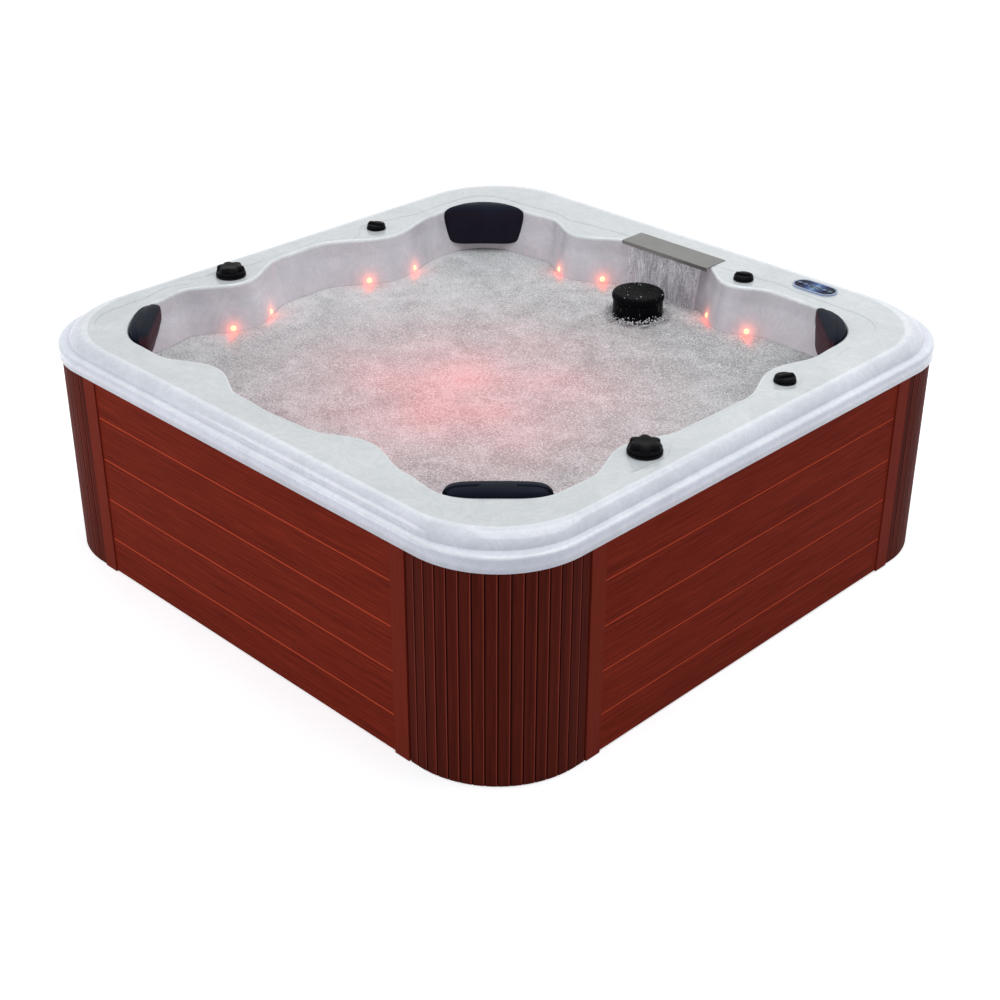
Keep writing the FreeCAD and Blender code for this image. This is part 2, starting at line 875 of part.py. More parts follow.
def diverter_valves(water_room):
    valves = []
    top = rim_top + diverter_flange_height
    for name, x, y in diverter_places:
        flange = upright(diverter_flange_radius, x, y, rim_top, top)
        body = upright(diverter_body_radius, x, y, rim_top - diverter_body_length, rim_top)
        leg_x = math.copysign(ring_half, x)
        leg = upright(drop_leg_radius, leg_x, y, jet_height, rim_top - diverter_body_length + drop_leg_radius)
        bridge_foot = rim_top - diverter_body_length
        bridge = box(min(x, leg_x), max(x, leg_x), y - drop_leg_radius, y + drop_leg_radius,
                     bridge_foot, bridge_foot + drop_leg_radius)
        chamber_top = top - diverter_chamber_depth
        chamber = upright(diverter_chamber_radius, x, y, chamber_top - diverter_chamber_length, chamber_top)
        bore = upright(stem_radius + running_fit, x, y, chamber_top, top)
        valve = flange.fuse([body, leg, bridge]).cut([chamber, bore])
        valves.append(valve.cut(water_room))
    return group(valves)


def diverter_knob(x, y):
    """A six-lobed cap on its stem, with the drum that opens the valve's ports."""
    top = rim_top + diverter_flange_height
    foot = top + seat_gap
    cap = upright(diverter_knob_radius, x, y, foot, foot + diverter_knob_height)
    cuts = []
    reach = diverter_knob_radius + diverter_knob_scoop
    for index in range(diverter_knob_lobes):
        angle = 2 * math.pi * index / diverter_knob_lobes
        cut_x = x + reach * math.cos(angle)
        cut_y = y + reach * math.sin(angle)
        cuts.append(upright(diverter_knob_scoop * 2, cut_x, cut_y,
                            foot + diverter_flange_height, foot + diverter_knob_height))
    cuts.append(upright(stem_radius, x, y, foot, foot + stem_socket))
    cap = cap.cut(cuts)
    stem = upright(stem_radius, x, y, top - diverter_chamber_depth - running_fit, foot + stem_socket)
    chamber_top = top - diverter_chamber_depth - running_fit
    drum = upright(diverter_chamber_radius - running_fit, x, y,
                   chamber_top - diverter_chamber_length + running_fit * 2, chamber_top)
    port = rod(stem_radius, V(x - diverter_chamber_radius * 2, y, chamber_top - diverter_chamber_length / 2),
               V(x + diverter_chamber_radius * 2, y, chamber_top - diverter_chamber_length / 2))
    return group([cap, stem.fuse(drum).cut(port)])


def air_valves(air_room):
    valves = []
    top = rim_top + air_flange_height
    for name, x, y in air_places:
        flange = upright(air_flange_radius, x, y, rim_top, top)
        foot = rim_top - air_body_length
        body = upright(air_body_radius, x, y, foot, rim_top)
        out = math.copysign(air_ring_half, x if abs(x) > abs(y) else y)
        end = V(out, y, air_ring_height) if abs(x) > abs(y) else V(x, out, air_ring_height)
        limb = rod(air_ring_radius, V(x, y, foot + air_ring_radius), end)
        chamber_top = top - air_bore_depth
        chamber = upright(air_bore_radius, x, y, chamber_top - air_bore_length, chamber_top)
        bore = upright(air_stem_radius + running_fit, x, y, chamber_top, top)
        valve = flange.fuse([body, limb]).cut([chamber, bore])
        valves.append(valve.cut(air_room))
    return group(valves)


def air_knob(x, y):
    top = rim_top + air_flange_height
    foot = top + seat_gap
    disc = upright(air_knob_radius, x, y, foot, foot + air_knob_height)
    half = air_grip_width / 2
    grip = box(x - air_knob_radius + half, x + air_knob_radius - half, y - half, y + half,
               foot + air_knob_height, foot + air_knob_height + air_grip_height)
    chamber_top = top - air_bore_depth - running_fit
    stem = upright(air_stem_radius, x, y, chamber_top, foot)
    drum_foot = chamber_top - air_bore_length + running_fit * 2
    drum = upright(air_bore_radius - running_fit, x, y, drum_foot, chamber_top)
    port = rod(air_stem_radius, V(x - air_bore_radius * 2, y, chamber_top - air_bore_length / 2),
               V(x + air_bore_radius * 2, y, chamber_top - air_bore_length / 2))
    return disc.fuse([grip, stem, drum]).cut(port)


# Control panel

panel_face = rim_top + panel_bezel_height - fascia_recess


def panel_stadium(inset, foot, height):
    wire = stadium(panel_x, panel_y, panel_length - inset * 2, panel_width - inset * 2, foot)
    return prism(wire, height)


def control_panel_housing():
    bezel = panel_stadium(0, rim_top, panel_bezel_height)
    well = panel_stadium(panel_bezel_width, panel_face - fascia_thickness, panel_bezel_height)
    body = panel_stadium(panel_body_inset, rim_top - panel_body_depth, panel_body_depth)
    inner = panel_stadium(panel_body_inset + panel_body_wall, rim_top - panel_body_depth + panel_body_wall,
                          panel_body_depth + panel_bezel_height)
    return bezel.fuse(body).cut([well, inner])


def control_panel_fascia():
    plate = panel_stadium(panel_bezel_width + seat_gap, panel_face - fascia_thickness, fascia_thickness)
    half_length = display_length / 2 + button_fit
    half_width = display_width / 2 + button_fit
    cuts = [box(panel_x - half_length, panel_x + half_length, panel_y - half_width, panel_y + half_width,
                panel_face - fascia_thickness, panel_face)]
    for place in button_places:
        cuts.append(upright(button_radius + button_fit, panel_x + place, panel_y,
                            panel_face - fascia_thickness, panel_face))
    return plate.cut(cuts)


def control_panel_display():
    """The window and the circuit board under it, on two short legs to the housing's floor."""
    half_length = display_length / 2
    half_width = display_width / 2
    floor = rim_top - panel_body_depth + panel_body_wall
    window = box(panel_x - half_length, panel_x + half_length, panel_y - half_width, panel_y + half_width,
                 panel_face - fascia_thickness * 2, panel_face + display_rise)
    leg = box(panel_x - half_length / 2, panel_x + half_length / 2,
              panel_y - half_width / 2, panel_y + half_width / 2, floor, panel_face - fascia_thickness * 2)
    return window.fuse(leg)


def control_button(place):
    x = panel_x + place
    under = panel_face - fascia_thickness - button_fit
    floor = rim_top - panel_body_depth + panel_body_wall
    cap = upright(button_radius, x, panel_y, under - button_flange_height, panel_face + button_proud)
    flange = upright(button_radius + button_flange, x, panel_y, under - button_flange_height, under)
    post = upright(button_post_radius, x, panel_y, floor + button_travel + seat_gap, under)
    return cap.fuse([flange, post])


# Waterfall

def waterfall_plate():
    x0 = waterfall_x - plate_length / 2
    x1 = waterfall_x + plate_length / 2
    back = waterfall_front + plate_width
    sheet = box(x0, x1, waterfall_front, back, rim_top, rim_top + plate_thickness)
    fold = box(x0, x1, waterfall_front, waterfall_front + plate_thickness, rim_top - plate_lip, rim_top)
    return sheet.fuse(fold)


def waterfall_body(water_room):
    x0 = waterfall_x - fall_body_half
    x1 = waterfall_x + fall_body_half
    top = rim_top - seat_gap
    head_foot = rim_top - fall_head_height
    foot = rim_top - fall_body_height
    head = box(x0, x1, fall_body_front, fall_body_back, head_foot, top)
    lower = box(x0, x1, fall_body_front + fall_step, fall_body_back, foot, head_foot)
    mouth_top = top - fall_wall
    mouth = box(x0 + fall_wall, x1 - fall_wall, fall_body_front, fall_body_back - fall_wall,
                mouth_top - fall_mouth_height, mouth_top)
    channel = box(x0 + fall_wall, x1 - fall_wall, fall_body_front + fall_step + fall_wall,
                  fall_body_back - fall_wall, foot + fall_wall, mouth_top)
    pipe_x = waterfall_x + fall_pipe_offset
    pipe_y = fall_body_back - fall_pipe_radius - fall_wall
    supply = rod(fall_pipe_radius, V(pipe_x, pipe_y, foot), V(pipe_x, ring_half, jet_height))
    return head.fuse(lower).cut([mouth, channel]).fuse(supply).cut(water_room)


# Filter

filter_foot = bench_height + filter_flange_height
cage_top = filter_top - filter_cap_height - seat_gap


def filter_fitting():
    """The threaded ring in the bench that the cage and the filter pipe hang on."""
    flange = upright(filter_radius - filter_cage_inset, filter_x, filter_y, bench_height, filter_foot)
    foot = bench_height - filter_fitting_depth
    body = upright(filter_fitting_radius, filter_x, filter_y, foot, bench_height)
    bore = upright(cartridge_bore_radius, filter_x, filter_y, foot, filter_foot)
    return flange.fuse(body).cut(bore)


def filter_cage():
    radius = filter_radius - filter_cage_inset
    outside = upright(radius, filter_x, filter_y, filter_foot, cage_top)
    inside = upright(radius - filter_cage_wall, filter_x, filter_y, filter_foot, cage_top)
    cage = outside.cut(inside)
    cuts = []
    rows = int((cage_top - filter_foot - filter_slot_gap) / (filter_slot_height + filter_slot_gap))
    for row in range(rows):
        foot = filter_foot + filter_slot_gap + row * (filter_slot_height + filter_slot_gap)
        for index in range(filter_slot_count):
            half = filter_slot_width / 2
            slot = box(filter_x + radius - filter_cage_wall * 2, filter_x + radius + overrun,
                       filter_y - half, filter_y + half, foot, foot + filter_slot_height)
            slot.rotate(V(filter_x, filter_y, 0), UP, 360 * index / filter_slot_count)
            cuts.append(slot)
    return cage.cut(cuts)


def filter_cartridge():
    """Pleated paper between two end caps, round an open core."""
    foot = filter_foot + seat_gap
    top = cage_top - cartridge_lift
    points = []
    for index in range(cartridge_pleats * 2):
        angle = math.pi * index / cartridge_pleats
        radius = cartridge_radius - cartridge_pleat_depth * (index % 2)
        points.append(V(filter_x + radius * math.cos(angle), filter_y + radius * math.sin(angle), foot))
    paper = prism(Part.makePolygon(points + points[:1]), top - foot)
    lower = upright(cartridge_radius, filter_x, filter_y, foot, foot + cartridge_end)
    upper = upright(cartridge_radius, filter_x, filter_y, top - cartridge_end, top)
    bore = upright(cartridge_bore_radius, filter_x, filter_y, foot, top)
    return paper.fuse([lower, upper]).cut(bore)


def filter_cap():
    """The black cap: a low dome edge, a sunk grip ring and a skirt inside the cage."""
    foot = cage_top + seat_gap
    disc = upright(filter_radius, filter_x, filter_y, foot, filter_top)
    rims = [edge for edge in disc.Edges if abs(edge.BoundBox.ZMin - filter_top) < seat_gap and edge.Closed]
    disc = disc.makeFillet(filter_cap_edge, rims)
    inner = filter_radius - filter_cage_inset - filter_cage_wall - seat_gap
    skirt = upright(inner, filter_x, filter_y, foot - filter_cap_skirt + filter_cage_inset, foot)
    skirt = skirt.cut(upright(inner - filter_cage_wall, filter_x, filter_y, foot - filter_cap_skirt, foot))
    reach = filter_radius - filter_cap_edge * 4
    sink = upright(reach, filter_x, filter_y, filter_top - filter_cap_edge, filter_top)
    half = filter_cap_edge
    grip = box(filter_x - reach, filter_x + reach, filter_y - half, filter_y + half,
               filter_top - filter_cap_edge, filter_top)
    return disc.cut(sink).fuse([grip.common(disc), skirt])


# Jets

def rotary_jet(index):
    point, outward = corner_point(index, jet_height)
    front = point - outward * (jet_proud - jet_face_recess)
    face = rod(jet_cavity_radius - running_fit, front, front + outward * jet_face_thickness)
    axle = rod(jet_axle_radius, front, front + outward * jet_axle_length)
    across = V(-outward.y, outward.x, 0)
    ports = []
    for sign in (-1, 1):
        port = front + across * (sign * jet_port_reach)
        ports.append(rod(jet_port_radius, port - outward * overrun, port + outward * overrun))
    return face.cut(ports).fuse(axle)


def jet_bodies(water_room, air_room):
    bodies = []
    for index in range(4):
        point, outward = corner_point(index, jet_height)
        straight = ring_half - ring_corner_radius
        middle = V(math.copysign(straight, point.x), math.copysign(straight, point.y), jet_height)
        ring_place = middle + outward * ring_corner_radius
        reach = (ring_place - point).dot(outward)
        front = point - outward * jet_proud
        body = rod(jet_body_radius, front, point + outward * reach)
        cavity = rod(jet_cavity_radius, front, front + outward * jet_cavity_depth)
        axle = rod(jet_axle_radius + running_fit, front, front + outward * (jet_axle_length + jet_proud))
        top = point + outward * (reach / 2) + UP * (jet_body_radius / 2)
        air_place = V(point.x, point.y, air_ring_height) + outward * (reach + (air_ring_half - ring_half))
        riser = rod(jet_riser_radius * 2, top, air_place)
        bodies.append(body.fuse(riser).cut([cavity, axle, water_room, air_room]))
    for quarter in range(4):
        outward = on_side(quarter, 0, 1)
        for place in small_jet_places:
            point, normal = wall_point(quarter, place, jet_height)
            reach = ring_half - point.dot(outward)
            front = point - outward * jet_proud
            body = rod(small_jet_radius, front, point + outward * reach)
            cavity = rod(small_jet_cavity, front, front + outward * small_jet_depth)
            start = point + outward * jet_riser_setback + UP * (small_jet_radius - jet_riser_radius)
            end = point + outward * (reach + air_ring_half - ring_half)
            riser = rod(jet_riser_radius, start, V(end.x, end.y, air_ring_height))
            bodies.append(body.fuse(riser).cut([cavity, water_room, air_room]))
    return group(bodies)


def jet_nozzles():
    nozzles = []
    for quarter in range(4):
        outward = on_side(quarter, 0, 1)
        for place in small_jet_places:
            point, normal = wall_point(quarter, place, jet_height)
            front = point - outward * (jet_proud - seat_gap)
            back = point - outward * (jet_proud - small_jet_depth)
            nozzle = rod(small_jet_cavity - seat_gap, front, back)
            bore = rod(small_jet_bore, front - outward * overrun, back + outward * overrun)
            nozzles.append(nozzle.cut(bore))
    return group(nozzles)


# Lights

def led_lenses():
    lenses = []
    for quarter in range(4):
        for place in led_places[side_names[quarter]]:
            point, outward = wall_point(quarter, place, led_height)
            barrel = rod(led_radius, point, point + outward * led_depth)
            radius = (led_radius ** 2 + led_proud ** 2) / (2 * led_proud)
            ball = Part.makeSphere(radius, point + outward * (radius - led_proud))
            dome = ball.common(rod(led_radius, point - outward * led_proud * 2, point))
            lenses.append(barrel.fuse(dome).removeSplitter())
    return group(lenses)


def light_housings():
    """The cups behind the sixteen small lights, and the housing of the large light in the footwell."""
    cups = []
    for quarter in range(4):
        for place in led_places[side_names[quarter]]:
            point, outward = wall_point(quarter, place, led_height)
            start = point + outward * led_housing_start
            cup = rod(led_housing_radius, start, start + outward * led_housing_length)
            cups.append(cup.cut(rod(led_radius + seat_gap, start, point + outward * (led_depth + seat_gap))))
    wall = footwell_half
    flange = rod(light_flange_radius, V(0, -wall, light_height), V(0, light_flange - wall, light_height))
    body = rod(light_radius, V(0, -wall, light_height), V(0, -wall - light_depth, light_height))
    front = V(0, light_flange - wall, light_height)
    cavity = rod(light_lens_radius, front, front - V(0, light_cavity_depth, 0))
    cups.append(flange.fuse(body).cut(cavity))
    return group(cups)


def light_lens():
    front = V(0, light_flange - footwell_half - seat_gap, light_height)
    return rod(light_lens_radius - seat_gap, front, front - V(0, light_lens_thickness, 0))


# Suction, drain

def suction_fittings():
    fittings = []
    for x in (-suction_place, suction_place):
        wall = V(x, footwell_half, pump_height)
        inward = V(0, -1, 0)
        cover = rod(suction_cover_radius, wall, wall + inward * suction_cover_height)
        body = rod(suction_radius, wall, wall - inward * suction_depth)
        bore = rod(pipe_radius, wall + inward * (suction_cover_height / 3), wall - inward * suction_depth)
        cuts = [bore]
        for ring in range(suction_hole_rings):
            count = max(1, ring * suction_holes_per_ring)
            for step in range(count):
                angle = 2 * math.pi * step / count
                reach = suction_hole_pitch * ring
                spot = wall + V(reach * math.cos(angle), 0, reach * math.sin(angle))
                cuts.append(rod(suction_hole_radius, spot, spot + inward * suction_cover_height * 2))
        chamber_radius = suction_hole_pitch * suction_hole_rings - suction_hole_radius
        chamber = rod(chamber_radius, wall - inward * shell_wall, wall + inward * suction_cover_height / 2)
        fittings.append(cover.fuse(body).cut(cuts + [chamber]))
    return group(fittings)


def drain_fitting():
    """Grated floor drain, its low pipe and the spigot behind the left side's bottom board."""
    flange = upright(drain_radius, 0, drain_y, footwell_height, footwell_height + filter_flange_height)
    body_foot = drain_pipe_height - drain_pipe_radius - drain_pipe_bore / 2
    body = upright(drain_body_radius, 0, drain_y, body_foot, footwell_height)
    end_x = -skirt_half + drain_spigot_setback
    tube = rod(drain_pipe_radius, V(0, drain_y, drain_pipe_height), V(end_x, drain_y, drain_pipe_height))
    bore = rod(drain_pipe_bore, V(0, drain_y, drain_pipe_height), V(end_x, drain_y, drain_pipe_height))
    sump_radius = drain_body_radius - drain_pipe_bore / 2
    sump = upright(sump_radius, 0, drain_y, drain_pipe_height - drain_pipe_bore, footwell_height)
    cuts = [bore, sump]
    hole = drain_pipe_bore / 3
    reach = drain_body_radius / 2
    for index in range(drain_hole_count):
        angle = 2 * math.pi * index / drain_hole_count
        cuts.append(upright(hole, reach * math.cos(angle), drain_y + reach * math.sin(angle),
                            footwell_height, footwell_height + filter_flange_height))
    return flange.fuse([body, tube]).cut(cuts)


def drain_cap():
    end_x = -skirt_half + drain_spigot_setback
    outer_x = end_x - filter_flange_height
    inner = V(outer_x + drain_cap_length, drain_y, drain_pipe_height)
    cap = rod(drain_cap_radius, V(outer_x, drain_y, drain_pipe_height), inner)
    room = rod(drain_pipe_radius + seat_gap, V(end_x - seat_gap, drain_y, drain_pipe_height), inner)
    return cap.cut(room)


# Pumps, heater and control box, drawn for the right and mirrored for the left

def on_pump(x, y, z):
    return V(x, pump_y + y, pump_height + z)


volute_end = volute_start + volute_width
motor_end = volute_end + motor_length
outlet_y = ring_half - pump_y


def pump_wet_end():
    case = rod(volute_radius, on_pump(volute_start, 0, 0), on_pump(volute_end, 0, 0))
    port_end = on_pump(volute_start - volute_port_length, 0, 0)
    inlet = rod(volute_port_radius, port_end, on_pump(volute_start, 0, 0))
    middle = volute_start + volute_width / 2
    outlet = rod(volute_port_radius, on_pump(middle, outlet_y, 0), V(middle, ring_half, volute_outlet_top))
    chamber = rod(volute_radius - volute_wall, on_pump(volute_start + volute_wall, 0, 0),
                  on_pump(volute_end - volute_wall, 0, 0))
    inner = pipe_radius - pipe_wall
    inlet_bore = rod(inner, port_end, on_pump(middle, 0, 0))
    outlet_bore = rod(inner, on_pump(middle, outlet_y, 0), V(middle, ring_half, volute_outlet_top))
    shaft_bore = rod(shaft_radius + running_fit, on_pump(middle, 0, 0), on_pump(volute_end, 0, 0))
    outside = case.fuse([inlet, outlet])
    return outside.cut([chamber, inlet_bore, outlet_bore, shaft_bore])


def pump_motor():
    case = rod(motor_radius, on_pump(volute_end, 0, 0), on_pump(motor_end, 0, 0))
    chamber = rod(motor_radius - motor_wall, on_pump(volute_end + motor_wall, 0, 0),
                  on_pump(motor_end - motor_wall, 0, 0))
    bore_end = on_pump(motor_end - motor_wall / 2, 0, 0)
    shaft_bore = rod(shaft_radius + running_fit, on_pump(volute_end, 0, 0), bore_end)
    middle = (volute_end + motor_end) / 2
    foot = box(middle - motor_foot_length / 2, middle + motor_foot_length / 2, pump_y - motor_foot_width / 2,
               pump_y + motor_foot_width / 2, tray_thickness, pump_height)
    return case.fuse(foot).cut([chamber, shaft_bore])


def pump_rotor():
    start = volute_start + volute_width / 2 - impeller_width / 2
    impeller = rod(impeller_radius, on_pump(start, 0, 0), on_pump(start + impeller_width, 0, 0))
    shaft = rod(shaft_radius, on_pump(start, 0, 0), on_pump(motor_end - motor_wall / 2 - seat_gap, 0, 0))
    core = rod(motor_core_radius, on_pump(volute_end + motor_wall + motor_core_inset, 0, 0),
               on_pump(motor_end - motor_wall - motor_core_inset, 0, 0))
    vanes = []
    for index in range(impeller_hole_count):
        notch = rod(impeller_width / 3, on_pump(start - overrun, 0, impeller_hole_reach),
                    on_pump(start + impeller_width * 2, 0, impeller_hole_reach))
        notch.rotate(on_pump(start, 0, 0), V(1, 0, 0), 360 * index / impeller_hole_count)
        vanes.append(notch)
    return impeller.cut(vanes).fuse([shaft, core])


def heater_tube():
    """A steel heater in the left pump's delivery pipe."""
    x = -(volute_start + volute_width / 2)
    top = heater_foot + heater_length
    outside = upright(heater_radius, x, ring_half, heater_foot, top)
    inside = upright(heater_radius - heater_wall, x, ring_half, heater_foot + heater_wall, top - heater_wall)
    port = upright(pipe_radius - pipe_wall, x, ring_half, heater_foot, top)
    return outside.cut([inside, port])


def control_box():
    y1 = frame_inner - seat_gap
    y0 = y1 - box_depth
    top = box_foot + box_height
    outside = box(-box_half_length, box_half_length, y0, y1, box_foot, top)
    inside = box(-box_half_length + box_wall, box_half_length - box_wall, y0 + box_wall, y1 - box_wall,
                 box_foot + box_wall, top - box_wall)
    return outside.cut(inside)


def spa_pipes():
    """The water ring, the air ring, and the pipes between pumps, filter, suction covers and ring."""
    water = hollow_ring(ring_half, ring_corner_radius, jet_height, ring_radius)
    air = hollow_ring(air_ring_half, air_ring_corner_radius, air_ring_height, air_ring_radius)
    pump_x = volute_start - volute_port_length
    stub = footwell_half + suction_depth
    suction = pipe([V(suction_place, stub, pump_height), V(suction_place, pump_y, pump_height),
                    V(pump_x, pump_y, pump_height)], suction_pipe_bend, pipe_radius)
    filtered = pipe([V(filter_x, filter_y, bench_height - filter_fitting_depth),
                     V(filter_x, filter_y, pump_height), V(filter_x, pump_y, pump_height),
                     V(-pump_x, pump_y, pump_height)], filter_pipe_bend, pipe_radius)
    branch_start = V(-suction_place, stub, pump_height)
    branch_end = V(-suction_place, pump_y, pump_height)
    branch = rod(pipe_radius, branch_start, branch_end)
    branch = branch.cut(rod(pipe_radius - pipe_wall, branch_start, branch_end))
    main_room = rod(pipe_radius + seat_gap, V(0, pump_y, pump_height), V(-pump_x, pump_y, pump_height))
    branch = branch.cut(main_room)
    middle = volute_start + volute_width / 2
    room = water_ring_room()
    risers = []
    for x, foot, top in ((middle, volute_outlet_top, jet_height), (-middle, volute_outlet_top, heater_foot),
                         (-middle, heater_foot + heater_length, jet_height)):
        riser = upright(pipe_radius, x, ring_half, foot, top)
        bore = upright(pipe_radius - pipe_wall, x, ring_half, foot, top)
        risers.append(riser.cut(bore).cut(room))
    return group([water, air, suction, filtered, branch] + risers)


def save(name, shape):
    print(name, "solids", len(shape.Solids), "volume", round(shape.Volume), "valid", shape.isValid())
    shape.exportStep("parts/" + name + ".step")


def build_shell_and_skirt():
    save("base_tray", base_tray())
    save("base_frame", base_frame())
    save("frame_posts", frame_posts())
    save("top_rail", top_rail())
    save("footwell_blocks", footwell_blocks())
    for quarter in range(4):
        save("side_boards_" + side_names[quarter], side_boards(quarter))
        save("corner_panel_" + corner_names[quarter], corner_panel(quarter))
    save("trim_strips", trim_strips())
    save("insulation_panels", insulation_panels())
    save("acrylic_shell", acrylic_shell())


def build_fittings():
    water_room = water_ring_room()
    air_room = air_ring_room()
    for index in range(4):
        save("pillow_" + corner_names[index], pillow(index))
        save("rotary_jet_" + corner_names[index], rotary_jet(index))
    save("pillow_pins", pillow_pins())
    save("waterfall_plate", waterfall_plate())
    save("waterfall_body", waterfall_body(water_room))
    for name, x, y in diverter_places:
        save("diverter_knob_" + name, diverter_knob(x, y))
    save("diverter_valves", diverter_valves(water_room))
    for name, x, y in air_places:
        save("air_knob_" + name, air_knob(x, y))
    save("air_valves", air_valves(air_room))
    save("control_panel_housing", control_panel_housing())
    save("control_panel_fascia", control_panel_fascia())
    save("control_panel_display", control_panel_display())
    for number, place in enumerate(button_places, 1):
        save("control_button_" + str(number), control_button(place))
    save("led_lenses", led_lenses())
    save("light_housings", light_housings())
    save("light_lens", light_lens())
    save("filter_fitting", filter_fitting())
    save("filter_cage", filter_cage())
    save("filter_cartridge", filter_cartridge())
    save("filter_cap", filter_cap())
    save("jet_bodies", jet_bodies(water_room, air_room))
    save("jet_nozzles", jet_nozzles())


def build_machinery():
    save("suction_fittings", suction_fittings())
    save("drain_fitting", drain_fitting())
    save("drain_cap", drain_cap())
    wet_end = pump_wet_end()
    save("pump_wet_ends", group([wet_end, mirrored(wet_end)]))
    motor = pump_motor()
    save("pump_motors", group([motor, mirrored(motor)]))
    rotor = pump_rotor()
    save("pump_rotor_right", rotor)
    save("pump_rotor_left", mirrored(rotor))
    save("heater_tube", heater_tube())
    save("control_box", control_box())
    save("spa_pipes", spa_pipes())


os.makedirs("parts", exist_ok=True)
build_shell_and_skirt()
build_fittings()
build_machinery()
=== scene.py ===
import math
import random

import bmesh
import bpy
from mathutils import Matrix, Vector, noise


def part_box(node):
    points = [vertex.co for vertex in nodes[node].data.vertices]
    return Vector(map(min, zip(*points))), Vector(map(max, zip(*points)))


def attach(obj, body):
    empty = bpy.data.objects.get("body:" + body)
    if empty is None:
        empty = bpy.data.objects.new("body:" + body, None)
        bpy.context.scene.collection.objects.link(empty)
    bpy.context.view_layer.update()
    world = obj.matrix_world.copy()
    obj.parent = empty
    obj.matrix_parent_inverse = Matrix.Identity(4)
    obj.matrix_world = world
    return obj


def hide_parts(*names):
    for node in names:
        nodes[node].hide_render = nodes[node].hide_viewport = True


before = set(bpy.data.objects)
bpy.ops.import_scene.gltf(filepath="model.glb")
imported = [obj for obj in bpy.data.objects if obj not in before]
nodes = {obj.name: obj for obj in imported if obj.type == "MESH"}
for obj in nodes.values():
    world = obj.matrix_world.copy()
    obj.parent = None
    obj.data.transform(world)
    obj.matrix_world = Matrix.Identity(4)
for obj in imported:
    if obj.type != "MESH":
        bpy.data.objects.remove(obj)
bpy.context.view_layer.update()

# Sizes of the tub, in metres, as its source has them
SKIRT_HALF = 1.045
SKIRT_FLAT = 0.745
LIP_HALF = 1.049
LIP_FOOT = 0.665
LIP_TOP = 0.709
LIP_CORNER = 0.295
LIP_EDGE = 0.012
SHELF_WIDTH = 0.013
SHELF_RISE = 0.002
ROLL_WIDTH = 0.039
ROLL_HEIGHT = 0.034
ROLL_FOOT_CORNER = 0.295
CREST_CORNER = 0.305
RIM_TOP = 0.745
SHELL_WALL = 0.006
WALL_TOP = 0.729
WALL_INSET = 0.055
WALL_LEAN = 0.2256
BENCH = 0.330
BENCH_FILLET = 0.025
SEAT_FLOOR = 0.270
SEAT_REACH = 0.530
SEAT_RADIUS = 0.215
SEAT_SLOPE = 0.030
FOOTWELL_FLOOR = 0.110
FOOTWELL_HALF = 0.410
FOOTWELL_CORNER = 0.120
FOOTWELL_SLOPE = 0.024
WATER_LEVEL = 0.585
FILTER_X = 0.037
FILTER_Y = 0.635
FILTER_RADIUS = 0.088
FILTER_TOP = 0.672
LED_HEIGHT = 0.597
PLATE_X = -0.002
PLATE_FRONT = 0.806
PANEL_X = 0.541
PANEL_Y = 0.922

# The basin's edge, in shares of the skirt's half width: along each side, and out from the middle
SIDE_EDGES = [
    [(-0.625, 0.853), (-0.52, 0.856), (-0.335, 0.788), (-0.14, 0.855), (0.0, 0.862),
     (0.13, 0.853), (0.315, 0.785), (0.50, 0.832), (0.621, 0.846)],
    [(-0.621, 0.846), (-0.52, 0.849), (-0.33, 0.792), (-0.15, 0.843), (0.0, 0.846),
     (0.11, 0.847), (0.32, 0.783), (0.48, 0.820), (0.565, 0.815)],
    [(-0.60, 0.780), (-0.44, 0.783), (-0.30, 0.731), (-0.14, 0.812), (0.0, 0.813),
     (0.15, 0.805), (0.34, 0.713), (0.50, 0.773), (0.62, 0.760)],
    [(-0.56, 0.820), (-0.50, 0.816), (-0.28, 0.765), (-0.02, 0.878), (0.12, 0.874),
     (0.335, 0.788), (0.52, 0.872), (0.625, 0.853)],
]
CORNER_ARCS = [(0.621, -0.621, 0.225), (0.600, 0.565, 0.215), (-0.62, 0.56, 0.20), (-0.625, -0.625, 0.228)]
CORNER_NAMES = ["front_right", "back_right", "back_left", "front_left"]
SIDE_NAMES = ["front", "right", "back", "left"]
LED_PLACES = [(-0.420, -0.250, 0.240, 0.415), (-0.420, -0.250, 0.240, 0.400),
              (-0.383, -0.238, 0.258, 0.400), (-0.365, -0.195, 0.252, 0.400)]
DIVERTERS = {"left": (-0.890, -0.349), "right": (0.893, -0.338)}
AIR_KNOBS = {"left": (-0.882, 0.284), "right": (0.892, 0.285), "back": (0.326, 0.823)}


# Meshes

def turn_faces_outward(mesh):
    work = bmesh.new()
    work.from_mesh(mesh)
    bmesh.ops.recalc_face_normals(work, faces=work.faces)
    work.to_mesh(mesh)
    work.free()


def shade(mesh, rounded):
    for polygon in mesh.polygons:
        polygon.use_smooth = rounded


def place_mesh(name, mesh, rounded=True):
    piece = bpy.data.objects.new(name, mesh)
    bpy.context.scene.collection.objects.link(piece)
    shade(mesh, rounded)
    return piece


def mesh_piece(name, vertices, faces, rounded=True):
    mesh = bpy.data.meshes.new(name)
    mesh.from_pydata([tuple(v) for v in vertices], [], faces)
    mesh.validate()
    turn_faces_outward(mesh)
    return place_mesh(name, mesh, rounded)


def grid_faces(rows, columns, closed=True):
    faces = []
    for row in range(rows - 1):
        for column in range(columns if closed else columns - 1):
            after = (column + 1) % columns
            faces.append((row * columns + column, row * columns + after,
                          (row + 1) * columns + after, (row + 1) * columns + column))
    return faces


def close_ring(vertices, faces, first, count, height):
    """Close a ring of points with a fan round a new point on the Z axis."""
    middle = len(vertices)
    vertices.append(Vector((0, 0, height)))
    for step in range(count):
        faces.append((first + step, first + (step + 1) % count, middle))


